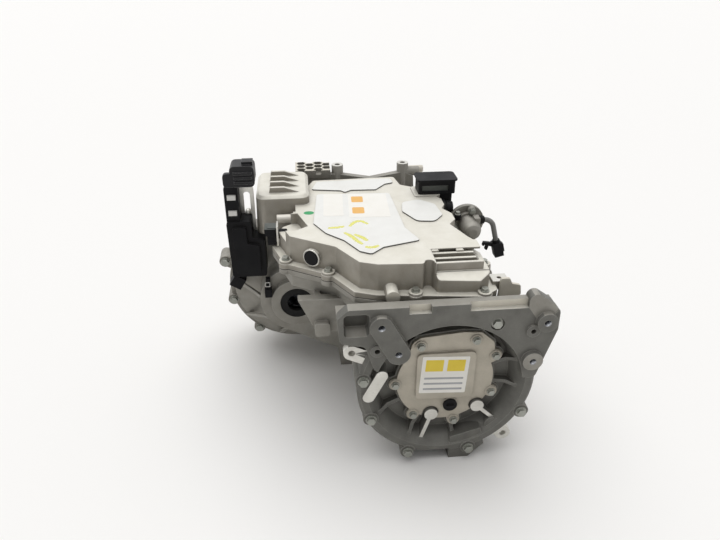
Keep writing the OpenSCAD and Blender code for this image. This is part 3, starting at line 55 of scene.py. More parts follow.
STILL = "housing"
MOTOR_TO_AXLE = Vector((0.220, -0.300, -0.005))
FRONT, BACK = Vector((0, -1, 0)), Vector((0, 1, 0))
UP, RIGHT = Vector((0, 0, 1)), Vector((1, 0, 0))
WELD_GAP = 0.00002
# Degrees above which an edge is shaded as sharp.
CRISP_EDGE, SHARP_EDGE, SOFT_EDGE = 20.0, 40.0, 80.0


def spot(x: float, y: float, z: float) -> Vector:
    """Point in the shared frame, from millimetres to the right of, behind and above the motor's origin."""
    return Vector((x, y, z)) / 1000.0 + MOTOR_TO_AXLE


def srgb(r: int, g: int, b: int) -> Colour:
    """Linear colour from screen values of 0 to 255."""
    return tuple(v / 12.92 if v <= 0.04045 else ((v + 0.055) / 1.055) ** 2.4
                 for v in (r / 255.0, g / 255.0, b / 255.0))


class Effect(Enum):
    """Surface effects that several finishes share, each one a node group."""

    CAST_GRAIN = "cast_grain"
    # Edge wear, which on the black cap is also a painted highlight.
    EDGE_WEAR_AND_HIGHLIGHT = "edge_wear_and_highlight"
    # Ambient-occlusion darkening: painted shade in recesses.
    CREVICE_SHADE = "painted_crevice_shade"
    TOOL_MARKS = "tool_marks"


@dataclass
class Graph:
    """A node tree with short calls to add and join nodes."""

    tree: bpy.types.NodeTree

    def add(self, kind: str, **settings: object) -> bpy.types.Node:
        """Adds a node and sets its plain properties.

        Args:
            kind: Blender's name of the node type.
            **settings: Properties of the node.

        Returns:
            The new node.
        """
        node = self.tree.nodes.new(kind)
        for name, value in settings.items():
            setattr(node, name, value)
        return node

    def join(self, source: Socket, target: Socket) -> None:
        """Links an output to an input."""
        self.tree.links.new(source, target)

    def feed(self, target: Socket, value: object) -> None:
        """Links or sets an input.

        Args:
            target: The input.
            value: Socket, colour or number.
        """
        if isinstance(value, Socket):
            self.join(value, target)
        else:
            target.default_value = (*value, 1.0) if isinstance(value, tuple) else value

    def math(self, operation: str, a: object, b: object = 0.0, clamp: bool = False) -> Socket:
        """Adds a math node.

        Args:
            operation: Blender's name of the operation.
            a: Socket or number.
            b: Socket or number.
            clamp: Whether the result stays between 0 and 1.

        Returns:
            The result's socket.
        """
        node = self.add("ShaderNodeMath", operation=operation, use_clamp=clamp)
        self.feed(node.inputs[0], a)
        self.feed(node.inputs[1], b)
        return node.outputs[0]

    def mix(self, factor: object, a: object, b: object) -> Socket:
        """Adds a colour mix.

        Args:
            factor: Socket or number.
            a: Colour or socket at factor 0.
            b: Colour or socket at factor 1.

        Returns:
            The mixed colour's socket.
        """
        node = self.add("ShaderNodeMix", data_type="RGBA")
        # A mix of colours uses these sockets of the many that the node has.
        for index, value in ((0, factor), (6, a), (7, b)):
            self.feed(node.inputs[index], value)
        return node.outputs[2]

    def noise(self, vector: Socket, scale: object, detail: float) -> Socket:
        """Adds a noise texture.

        Args:
            vector: Where it is read.
            scale: Socket or number, in cycles per metre.
            detail: Octaves.

        Returns:
            Its value's socket.
        """
        node = self.add("ShaderNodeTexNoise")
        self.join(vector, node.inputs["Vector"])
        self.feed(node.inputs["Scale"], scale)
        node.inputs["Detail"].default_value = detail
        return node.outputs[0]

    def blend(self, a: Socket, b: Socket, share: float) -> Socket:
        """Mean of two values, in which the first has the given share."""
        return self.math("ADD", self.math("MULTIPLY", a, share), self.math("MULTIPLY", b, 1.0 - share))

    def stretch(self, value: Socket, low: float, gain: float) -> Socket:
        """What a value has above a low end, times a gain, between 0 and 1."""
        return self.math("MULTIPLY", self.math("SUBTRACT", value, low), gain, True)

    def broken(self, shape: Socket, noise: Socket, floor: float, amount: Socket) -> Socket:
        """A mask that noise breaks up above a floor, times an amount."""
        rough = self.math("MULTIPLY", shape, self.math("ADD", noise, floor, True))
        return self.math("MULTIPLY", rough, amount, True)

    def place(self, effect: Effect, **values: float) -> bpy.types.Node:
        """Places a shared effect with its own values.

        Args:
            effect: Which effect.
            **values: Its inputs by name.

        Returns:
            The group node.
        """
        node = self.add("ShaderNodeGroup", node_tree=bpy.data.node_groups[effect.value])
        for name, value in values.items():
            node.inputs[name].default_value = value
        return node


@dataclass
class EffectShelf:
    """Builds each shared effect once; scales are in cycles per metre."""

    wave_scale: float = 190.0
    grit_share: float = 0.62
    patch_share: float = 0.72
    grain_range: Pair = (0.2, 1.7)
    edge_gain: float = 5.0
    # Noise of the edge mask, for wear and for the cap's painted highlight.
    wear_and_highlight_scale: float = 140.0
    wear_and_highlight_floor: float = 0.25
    # Noise that breaks up the painted shade in recesses.
    shade_noise_scale: float = 60.0
    shade_noise_floor: float = 0.3
    line_stretch: Point = (0.06, 1.0, 1.0)
    stain_scale: float = 45.0
    line_share: float = 0.4
    line_range: Pair = (0.3, 2.5)

    def start(self, effect: Effect, inputs: dict[str, float], outputs: Iterable[str]) -> tuple[
            Graph, bpy.types.NodeOutputs, bpy.types.NodeInputs, Socket]:
        """Begins a group with float sockets.

        Args:
            effect: Name of the group.
            inputs: Names and first values of its inputs.
            outputs: Names of its outputs.

        Returns:
            The group's graph, its inputs, its outputs and the object's coordinates.
        """
        tree = bpy.data.node_groups.new(effect.value, "ShaderNodeTree")
        for name, value in inputs.items():
            tree.interface.new_socket(name, in_out="INPUT", socket_type="NodeSocketFloat").default_value = value
        for name in outputs:
            tree.interface.new_socket(name, in_out="OUTPUT", socket_type="NodeSocketFloat")
        graph = Graph(tree)
        entry, leave = graph.add("NodeGroupInput"), graph.add("NodeGroupOutput")
        return graph, entry.outputs, leave.inputs, graph.add("ShaderNodeTexCoord").outputs["Object"]

    def cast_grain(self) -> None:
        """Blasted casting skin: fine grit, soft waves and pale and dark patches."""
        values = {"Scale": 900.0, "Patch": 40.0}
        graph, given, out, where = self.start(Effect.CAST_GRAIN, values, ("Mottle", "Height"))
        fine = graph.noise(where, given["Scale"], 4.0)
        soft = graph.noise(where, given["Patch"], 5.0)
        waves = graph.noise(where, self.wave_scale, 2.0)
        graph.join(graph.blend(fine, waves, self.grit_share), out["Height"])
        graph.join(graph.stretch(graph.blend(soft, fine, self.patch_share), *self.grain_range), out["Mottle"])

    def edge_wear_and_highlight(self) -> None:
        """Mask of outer edges, broken up as handling does: wear, and on the black cap a painted highlight along its
        ridges.
        """
        graph, given, out, where = self.start(Effect.EDGE_WEAR_AND_HIGHLIGHT, {"Radius": 0.0015, "Amount": 1.0}, ("Mask",))
        rounded = graph.add("ShaderNodeBevel", samples=4)
        graph.join(given["Radius"], rounded.inputs["Radius"])
        flat = graph.add("ShaderNodeNewGeometry").outputs["Normal"]
        turn = graph.add("ShaderNodeVectorMath", operation="DOT_PRODUCT")
        graph.join(rounded.outputs[0], turn.inputs[0])
        graph.join(flat, turn.inputs[1])
        edge = graph.math("MULTIPLY", graph.math("SUBTRACT", 1.0, turn.outputs["Value"]), self.edge_gain, True)
        noise = graph.noise(where, self.wear_and_highlight_scale, 4.0)
        graph.join(graph.broken(edge, noise, self.wear_and_highlight_floor, given["Amount"]), out["Mask"])

    def painted_crevice_shade(self) -> None:
        """Mask of inner corners from ambient occlusion, broken up by noise: painted shade in the recesses."""
        graph, given, out, where = self.start(Effect.CREVICE_SHADE, {"Reach": 0.012, "Amount": 1.0}, ("Mask",))
        shelter = graph.add("ShaderNodeAmbientOcclusion", samples=6)
        graph.join(given["Reach"], shelter.inputs["Distance"])
        hidden = graph.math("SUBTRACT", 1.0, shelter.outputs["AO"])
        noise = graph.noise(where, self.shade_noise_scale, 4.0)
        graph.join(graph.broken(hidden, noise, self.shade_noise_floor, given["Amount"]), out["Mask"])

    def tool_marks(self) -> None:
        """Fine parallel lines that a cutter leaves."""
        graph, given, out, where = self.start(Effect.TOOL_MARKS, {"Pitch": 2600.0}, ("Mottle", "Height"))
        spread = graph.add("ShaderNodeMapping")
        spread.inputs["Scale"].default_value = self.line_stretch
        graph.join(where, spread.inputs["Vector"])
        lines = graph.noise(spread.outputs[0], given["Pitch"], 2.0)
        stains = graph.noise(where, self.stain_scale, 4.0)
        graph.join(lines, out["Height"])
        graph.join(graph.stretch(graph.blend(lines, stains, self.line_share), *self.line_range), out["Mottle"])

    def build(self) -> None:
        """Builds every effect."""
        for effect in Effect:
            getattr(self, effect.value)()


@dataclass(frozen=True)
class Surface:
    """A named surface with two colours, whose material is made on first use."""

    name: str
    light: Colour
    dark: Colour

    def material(self) -> bpy.types.Material:
        """The node material of this surface.

        Returns:
            The material.
        """
        found = bpy.data.materials.get(self.name)
        if found:
            return found
        made = bpy.data.materials.new(self.name)
        made.use_nodes = True
        self.fill(Graph(made.node_tree), made.node_tree.nodes["Principled BSDF"].inputs)
        return made

    def fill(self, graph: Graph, shader: bpy.types.NodeInputs) -> None:
        """Joins the nodes of a new material; each kind of surface has its own way."""
        raise NotImplementedError


@dataclass(frozen=True)
class Finish(Surface):
    """Metal, moulding or paper: its gloss and the shared effects that it uses."""

    metallic: float
    rough: Pair
    texture: Effect = Effect.CAST_GRAIN
    scale: float = 900.0
    depth: float = 0.0003
    relief: float = 0.6
    edge: float = 0.0008
    # Edge colour: wear, and on the black cap a painted highlight.
    wear_and_highlight: float = 0.0
    wear_and_highlight_colour: Colour = (0.75, 0.74, 0.71)
    wear_and_highlight_reach: float = 0.0012
    # Painted shade in crevices: its amount, colour and reach.
    crevice_shade: float = 0.0
    crevice_shade_colour: Colour = (0.09, 0.08, 0.065)
    crevice_shade_reach: float = 0.012
    coat: float = 0.0
    coat_rough: float = 0.25
    specular: float = 0.5

    def fill(self, graph: Graph, shader: bpy.types.NodeInputs) -> None:
        """Joins colour, gloss and relief.

        Args:
            graph: Graph of the new material.
            shader: Inputs of its shader.
        """
        for name, value in (("Metallic", self.metallic), ("Specular IOR Level", self.specular),
                            ("Coat Weight", self.coat), ("Coat Roughness", self.coat_rough)):
            shader[name].default_value = value
        scale_name = "Scale" if self.texture is Effect.CAST_GRAIN else "Pitch"
        skin = graph.place(self.texture, **{scale_name: self.scale})
        colour = graph.mix(skin.outputs["Mottle"], self.light, self.dark)
        # Painted shade: a darker colour where the ambient occlusion finds recesses.
        if self.crevice_shade:
            mask = graph.place(Effect.CREVICE_SHADE, Amount=self.crevice_shade, Reach=self.crevice_shade_reach)
            colour = graph.mix(mask.outputs["Mask"], colour, self.crevice_shade_colour)
        # Edge colour: wear, and on the black cap a painted highlight along its ridges.
        if self.wear_and_highlight:
            mask = graph.place(Effect.EDGE_WEAR_AND_HIGHLIGHT, Amount=self.wear_and_highlight, Radius=max(self.edge, self.wear_and_highlight_reach))
            colour = graph.mix(mask.outputs["Mask"], colour, self.wear_and_highlight_colour)
        graph.join(colour, shader["Base Color"])
        gloss = graph.add("ShaderNodeMapRange")
        gloss.inputs["To Min"].default_value, gloss.inputs["To Max"].default_value = self.rough
        graph.join(skin.outputs["Mottle"], gloss.inputs["Value"])
        graph.join(gloss.outputs["Result"], shader["Roughness"])
        bump = graph.add("ShaderNodeBump")
        bump.inputs["Strength"].default_value = self.relief
        bump.inputs["Distance"].default_value = self.depth
        graph.join(skin.outputs["Height"], bump.inputs["Height"])
        if self.edge:
            soft_edge = graph.add("ShaderNodeBevel", samples=4)
            soft_edge.inputs["Radius"].default_value = self.edge
            graph.join(soft_edge.outputs[0], bump.inputs["Normal"])
        graph.join(bump.outputs[0], shader["Normal"])


# The crevice amounts of these finishes paint shade into their recesses.
CAST_DARK = Finish(
    "end_cover_casting", srgb(121, 120, 114), srgb(95, 94, 89), 0.35, (0.5, 0.72), edge=0.0022, depth=0.0005,
    wear_and_highlight=0.45, wear_and_highlight_colour=srgb(196, 194, 186), crevice_shade=0.8)
CAST_MID = Finish(
    "reducer_casting", srgb(160, 157, 149), srgb(134, 131, 123), 0.4, (0.45, 0.68), edge=0.0020, depth=0.0004,
    wear_and_highlight=0.45, wear_and_highlight_colour=srgb(210, 207, 198), crevice_shade=0.85)
# Lit and shaded copies of the inverter's casting: the walls carry painted shade and the tops a painted highlight.
CAST_SHADED_WALL = Finish(
    "inverter_shaded_wall_casting", srgb(166, 161, 151), srgb(136, 131, 120), 0.4, (0.4, 0.6), edge=0.0028, depth=0.0004,
    wear_and_highlight=0.4, wear_and_highlight_colour=srgb(222, 219, 210), crevice_shade=0.7)
CAST_LIT_TOP = Finish(
    "inverter_lit_top_casting", srgb(232, 229, 219), srgb(208, 204, 191), 0.25, (0.38, 0.58), edge=0.0028,
    wear_and_highlight=0.3, wear_and_highlight_colour=srgb(244, 241, 232), crevice_shade=0.45, crevice_shade_colour=srgb(112, 106, 96))
CAST_FLUSH_LIT_TOP = replace(CAST_LIT_TOP, name="flush_lit_top_casting", edge=0.0, wear_and_highlight=0.0)
CAST_PALE = Finish(
    "bracket_casting", srgb(222, 217, 204), srgb(200, 194, 180), 0.2, (0.45, 0.62), edge=0.0016, crevice_shade=0.4)
PLATE = Finish(
    "terminal_plate_casting", srgb(196, 189, 174), srgb(164, 157, 143), 0.3, (0.42, 0.6), edge=0.0022,
    wear_and_highlight=0.3, wear_and_highlight_colour=srgb(226, 220, 208), crevice_shade=0.55)
MACHINED = Finish(
    "machined_aluminium", srgb(230, 228, 221), srgb(200, 198, 190), 0.6, (0.24, 0.42), texture=Effect.TOOL_MARKS,
    scale=2600.0, depth=0.00006, edge=0.0006)
PIPE = Finish("inlet_pipe_skin", srgb(240, 236, 226), srgb(222, 217, 205), 0.15, (0.4, 0.55))
ZINC = Finish(
    "zinc_plated_steel", srgb(178, 179, 172), srgb(128, 130, 122), 0.8, (0.3, 0.5), depth=0.0001, edge=0.0006,
    wear_and_highlight=0.4, wear_and_highlight_colour=srgb(226, 225, 218), crevice_shade=0.6, crevice_shade_reach=0.004)
GROUND_STEEL = Finish(
    "ground_steel", srgb(186, 188, 192), srgb(150, 152, 156), 0.95, (0.16, 0.32), texture=Effect.TOOL_MARKS,
    depth=0.00004, edge=0.0005)
GEAR_STEEL = Finish(
    "hardened_gear_steel", srgb(142, 144, 148), srgb(104, 106, 110), 0.95, (0.22, 0.4), texture=Effect.TOOL_MARKS,
    depth=0.00005, edge=0.0004, wear_and_highlight=0.5, wear_and_highlight_colour=srgb(206, 207, 210))
LAMINATE = Finish(
    "laminated_sheets", srgb(120, 122, 126), srgb(86, 88, 92), 0.7, (0.4, 0.6), texture=Effect.TOOL_MARKS,
    depth=0.0002, edge=0.0004)
COPPER = Finish(
    "enamelled_copper", srgb(190, 112, 62), srgb(146, 78, 40), 0.85, (0.28, 0.45), depth=0.0001, edge=0.0004,
    coat=0.4)
BLACK = Finish(
    "black_moulding", srgb(26, 26, 28), srgb(13, 13, 15), 0.0, (0.42, 0.62), scale=2200.0, depth=0.00012,
    edge=0.0010, wear_and_highlight=0.2, wear_and_highlight_colour=srgb(74, 74, 76), crevice_shade=0.15, specular=0.14)
# The cap's strong pale edge colour is a painted highlight along its ridges, over some wear.
BLACK_CAP = Finish(
    "black_cap_moulding", srgb(34, 34, 36), srgb(18, 18, 20), 0.0, (0.34, 0.5), scale=2200.0, depth=0.00012,
    edge=0.0012, wear_and_highlight=0.9, wear_and_highlight_colour=srgb(150, 150, 148), specular=0.25)
GREY_PANEL = Finish(
    "grey_moulding", srgb(92, 96, 92), srgb(74, 78, 74), 0.0, (0.42, 0.6), scale=2200.0, depth=0.0001, edge=0.0006)
WHITE_CLIP = Finish(
    "white_moulding", srgb(232, 231, 226), srgb(214, 212, 206), 0.0, (0.38, 0.52), scale=2200.0, depth=0.00008,
    edge=0.0006)
RUBBER = Finish(
    "black_rubber", srgb(30, 30, 29), srgb(20, 20, 19), 0.0, (0.6, 0.78), scale=1600.0, depth=0.0001, edge=0.0006,
    crevice_shade=0.2, specular=0.25)
CONDUIT = Finish(
    "grey_conduit", srgb(150, 149, 146), srgb(124, 123, 120), 0.0, (0.45, 0.62), scale=1800.0, depth=0.00008,
    edge=0.0, specular=0.3)
FILM = Finish(
    "damping_film", srgb(238, 238, 234), srgb(226, 225, 220), 0.05, (0.34, 0.5), scale=1300.0, depth=0.00008,
    edge=0.0005)
# Painted shadow: the dark sides of the damping sheets stand in for the shadow under their rims.
FILM_EDGE_SHADOW = Finish(
    "damping_film_edge_shadow", srgb(86, 84, 80), srgb(58, 56, 53), 0.0, (0.5, 0.7), scale=1300.0, depth=0.00008, edge=0.0)
BOARD = Finish("circuit_board", srgb(38, 104, 66), srgb(26, 80, 50), 0.0, (0.3, 0.45), scale=1500.0, coat=0.5)
PAPER = Finish(
    "label_paper", srgb(244, 242, 236), srgb(236, 233, 225), 0.0, (0.5, 0.65), scale=1800.0, depth=0.00004,
    edge=0.0)
LABEL_OCHRE = Finish("label_ochre", srgb(238, 186, 104), srgb(226, 170, 88), 0.0, (0.5, 0.65), edge=0.0)
LABEL_YELLOW = Finish("label_yellow", srgb(240, 214, 74), srgb(228, 200, 62), 0.0, (0.5, 0.65), edge=0.0)
LABEL_GREY = Finish("label_grey", srgb(178, 178, 180), srgb(160, 160, 162), 0.0, (0.5, 0.65), edge=0.0)
GREEN_DOT = Finish("green_paint_dot", srgb(28, 166, 96), srgb(18, 140, 78), 0.0, (0.3, 0.5), edge=0.0)


@dataclass(frozen=True)
class Crayon(Surface):
    """Waxy strokes that skip over the surface and fade towards their rims."""

    rough: float = 0.6
    grain: float = 700.0
    skips: float = 260.0
    detail: float = 5.0
    body: float = 0.2
    fade: float = 1.2
    bare: float = 0.18
    gain: float = 2.2
    cover: float = 0.72

    def fill(self, graph: Graph, shader: bpy.types.NodeInputs) -> None:
        """Joins the colour and the gaps of the strokes.

        Args:
            graph: Graph of the new material.
            shader: Inputs of its shader.
        """
        shader["Roughness"].default_value = self.rough
        where = graph.add("ShaderNodeTexCoord").outputs
        grain = graph.noise(where["Object"], self.grain, self.detail)
        graph.join(graph.mix(grain, self.light, self.dark), shader["Base Color"])
        across = graph.add("ShaderNodeSeparateXYZ")
        graph.join(where["UV"], across.inputs[0])
        rim = graph.math("MULTIPLY", graph.math("ABSOLUTE", graph.math("SUBTRACT", across.outputs["Y"], 0.5)), 2.0)
        inner = graph.math("SUBTRACT", 1.0, graph.math("POWER", rim, self.fade), True)
        patchy = graph.math("ADD", graph.noise(where["Object"], self.skips, self.detail), self.body)
        wax = graph.math("SUBTRACT", graph.math("MULTIPLY", inner, patchy), self.bare)
        dense = graph.math("MULTIPLY", wax, self.gain, True)
        graph.join(graph.math("MULTIPLY", dense, self.cover), shader["Alpha"])


CRAYON = Crayon("yellow_crayon", srgb(240, 238, 70), srgb(246, 242, 130))


def new_piece(name: str, mesh: Mesh, finish: Surface,
              smooth_angle: float | None = SHARP_EDGE) -> bpy.types.Object:
    """Turns a bmesh into a piece that rides on the still castings.

    Args:
        name: Name of the piece.
        mesh: Its geometry, freed here.
        finish: Its surface.
        smooth_angle: Edges flatter than this are shaded smooth, in degrees.

    Returns:
        The new object.
    """
    bmesh.ops.recalc_face_normals(mesh, faces=mesh.faces)
    data = bpy.data.meshes.new(name)
    mesh.to_mesh(data)
    mesh.free()
    data.materials.append(finish.material())
    piece = bpy.data.objects.new(name, data)
    bpy.context.scene.collection.objects.link(piece)
    if smooth_angle is not None:
        data.set_sharp_from_angle(angle=math.radians(smooth_angle))
        for polygon in data.polygons:
            polygon.use_smooth = True
    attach(piece, STILL)
    LOG.info("piece %s: %d faces", name, len(data.polygons))
    return piece


def rounded_loop(width: float, height: float, radius: float, steps: int = 5) -> list[Pair]:
    """Corner points of a rectangle with round corners, about its middle.

    Args:
        width: Size along the first axis.
        height: Size along the second axis.
        radius: Corner radius.
        steps: Points in each corner.

    Returns:
        The points, anticlockwise.
    """
    points = []
    for k, (sx, sy) in enumerate(((1, 1), (-1, 1), (-1, -1), (1, -1))):
        for i in range(steps + 1):
            angle = math.radians(90 * k + 90 * i / steps)
            points.append((sx * (width / 2 - radius) + radius * math.cos(angle),
                           sy * (height / 2 - radius) + radius * math.sin(angle)))
    return points


def full_turn(sides: int) -> list[float]:
    """Even steps of a full turn, in radians."""
    return [2 * math.pi * k / sides for k in range(sides)]


def bridge(mesh: Mesh, rings: Sequence[Sequence[bmesh.types.BMVert]]) -> None:
    """Closes the sides between rings of points.

    Args:
        mesh: The geometry.
        rings: Rings in their order; one of a single point is a tip.
    """
    for low, high in zip(rings, rings[1:]):
        sides = max(len(low), len(high))
        for k in range(sides):
            after = (k + 1) % sides
            corners = (low[k % len(low)], low[after % len(low)], high[after % len(high)], high[k % len(high)])
            mesh.faces.new(list(dict.fromkeys(corners)))


def slab(loop: Sequence[Pair], thickness: float, place: Matrix, chamfer: float = 0.0) -> Mesh:
    """Flat piece with an outline and, if asked, a chamfered upper edge.

    Args:
        loop: Outline in the piece's own plane.
        thickness: Height above that plane.
        place: Where the plane's origin and axes go.
        chamfer: Width of the upper chamfer.

    Returns:
        The geometry.
    """
    mesh = bmesh.new()
    middle = Vector((sum(p[0] for p in loop) / len(loop), sum(p[1] for p in loop) / len(loop)))
    levels = [(0.0, 0.0), (thickness - chamfer, 0.0)]
    if chamfer:
        levels.append((thickness, chamfer))
    rings = []
    for height, inset in levels:
        inner = [Vector(p) + (middle - Vector(p)).normalized() * inset for p in loop]
        rings.append([mesh.verts.new(place @ Vector((*p, height))) for p in inner])
    bridge(mesh, rings)
    mesh.faces.new(list(reversed(rings[0])))
    mesh.faces.new(rings[-1])
    return mesh


def facing(origin: Vector, x_axis: Vector, normal: Vector) -> Matrix:
    """Placement of a plane.

    Args:
        origin: Its middle.
        x_axis: Direction of its first axis.
        normal: Direction that it faces.

    Returns:
        The placement.
    """
    z = normal.normalized()
    x = (x_axis - z * x_axis.dot(z)).normalized()
    return Matrix.Translation(origin) @ Matrix((x, z.cross(x), z)).transposed().to_4x4()


def turned(profile: Sequence[Pair], place: Matrix, sides: int = 40, closed: bool = True) -> Mesh:
    """Piece turned about the third axis of a placement.

    Args:
        profile: Radius and height pairs, in millimetres.
        place: Axis and origin.
        sides: Facets round the axis.
        closed: Whether the profile's ends join each other.

    Returns:
        The geometry.
    """
    mesh = bmesh.new()
    rings = []
    for radius, height in ((r / 1000.0, h / 1000.0) for r, h in profile):
        angles = full_turn(sides) if radius else [0.0]
        rings.append([mesh.verts.new(place @ Vector((radius * math.cos(a), radius * math.sin(a), height)))
                      for a in angles])
    bridge(mesh, rings + rings[:1] if closed else rings)
    return mesh


@dataclass(frozen=True)
class Patch:
    """Faces of a solid that have another finish, found by a box round their middles, in millimetres."""

    finish: Finish
    low: Point
    high: Point
    normal: Vector | None = None
    aligned: float = 0.9

    def paint(self, piece: bpy.types.Object) -> None:
        """Gives the faces their finish.

        Args:
            piece: The solid's object.
        """
        low, high = spot(*self.low), spot(*self.high)
        piece.data.materials.append(self.finish.material())
        index = len(piece.data.materials) - 1
        for polygon in piece.data.polygons:
            inside = all(a <= c <= b for a, c, b in zip(low, polygon.center, high))
            if inside and (self.normal is None or polygon.normal.dot(self.normal) > self.aligned):
                polygon.material_index = index


def paint_steep(piece: bpy.types.Object, finish: Finish, limit: float = 0.6) -> None:
    """Gives the walls of a solid a darker finish: painted shade.

    Args:
        piece: The solid's object.
        finish: Darker finish of the walls, which paints their shade.
        limit: Faces whose normal rises less than this count as walls.
    """
    piece.data.materials.append(finish.material())
    index = len(piece.data.materials) - 1
    for polygon in piece.data.polygons:
        if polygon.normal.z < limit:
            polygon.material_index = index


@dataclass(frozen=True)
class Skin:
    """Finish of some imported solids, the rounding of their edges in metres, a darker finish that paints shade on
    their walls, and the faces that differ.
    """

    finish: Finish
    nodes: tuple[str, ...]
    rounding: float = 0.0
    walls: Finish | None = None
    patches: tuple[Patch, ...] = ()

    def round_off(self, piece: bpy.types.Object) -> None:
        """Rounds the edges of a solid.

        Args:
            piece: The solid's object.
        """
        weld = piece.modifiers.new("join_faces", "WELD")
        weld.merge_threshold = WELD_GAP
        bevel = piece.modifiers.new("round_edges", "BEVEL")
        bevel.width, bevel.segments = self.rounding, 2
        bevel.limit_method, bevel.angle_limit = "ANGLE", math.radians(SHARP_EDGE)
        bevel.use_clamp_overlap = bevel.harden_normals = True

    def put_on(self) -> None:
        """Dresses the solids."""
        for node in self.nodes:
            LOG.info("dressed %s with %s", node, self.finish.name)
            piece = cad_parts[node]
            piece.data.materials.clear()
            piece.data.materials.append(self.finish.material())
            for polygon in piece.data.polygons:
                polygon.material_index = 0
            if self.rounding:
                self.round_off(piece)
            # Painted shade: steep faces get a darker finish.
            if self.walls:
                paint_steep(piece, self.walls)
            for patch in self.patches:
                patch.paint(piece)


@dataclass(frozen=True)
class Label:
    """Blank paper label with plain colour fields; its middle in millimetres, its sizes in metres."""

    name: str
    middle: Point
    size: Pair
    corner: float
    way: Vector
    normal: Vector
    fields: tuple[tuple[Pair, Pair, Finish], ...] = ()
    field_corner: float = 0.001
    paper_t: float = 0.0002
    field_t: float = 0.00008

    def stick(self) -> None:
        """Builds the label and its fields."""
        place = facing(spot(*self.middle), self.way, self.normal)
        new_piece(self.name, slab(rounded_loop(*self.size, self.corner), self.paper_t, place), PAPER)
        for k, (middle, size, finish) in enumerate(self.fields):
            on = place @ Matrix.Translation((*middle, self.paper_t))
            new_piece(f"{self.name}_field_{k + 1}", slab(rounded_loop(*size, self.field_corner), self.field_t, on),
                      finish)


@dataclass(frozen=True)
class Block:
    """Upright block of the inverter's casting, in millimetres."""

    name: str
    finish: Finish
    foot: Point
    size: Point
    corner: float = 1.2
    chamfer: float = 0.8

    def stand(self) -> None:
        """Builds the block, with painted shade on its walls."""
        width, depth, height = (v / 1000 for v in self.size)
        loop = rounded_loop(width, depth, self.corner / 1000)
        mesh = slab(loop, height, facing(spot(*self.foot), RIGHT, UP), self.chamfer / 1000)
        paint_steep(new_piece(self.name, mesh, self.finish), CAST_SHADED_WALL)


Skins = tuple[Skin, ...]


@dataclass
class Assembly:
    """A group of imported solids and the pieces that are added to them."""

    skins: Skins = ()

    def trim(self) -> None:
        """Builds the added pieces, which each group does in its own way."""
        raise NotImplementedError

    def build(self) -> None:
        """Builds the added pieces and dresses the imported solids."""
        self.trim()
        for skin in self.skins:
            skin.put_on()


def hexagon(across: float) -> list[Pair]:
    """Corners of a hexagon, from the distance between its flats."""
    radius = across / math.sqrt(3)
    return [(radius * math.cos(a), radius * math.sin(a)) for a in full_turn(6)]


def smooth_line(points: Sequence[Vector], steps: int = 6) -> list[Vector]:
    """Points of a smooth curve through the given ones.

    Args:
        points: Places that the curve passes.
        steps: Pieces between two of them.

    Returns:
        The points of the curve.
    """
    line = []
    for i in range(len(points) - 1):
        before, a, b, after = points[max(i - 1, 0)], points[i], points[i + 1], points[min(i + 2, len(points) - 1)]
        for k in range(steps):
            t = k / steps
            line.append(0.5 * (2 * a + (b - before) * t + (2 * before - 5 * a + 4 * b - after) * t ** 2
                               + (3 * a - before - 3 * b + after) * t ** 3))
    return line + [points[-1]]


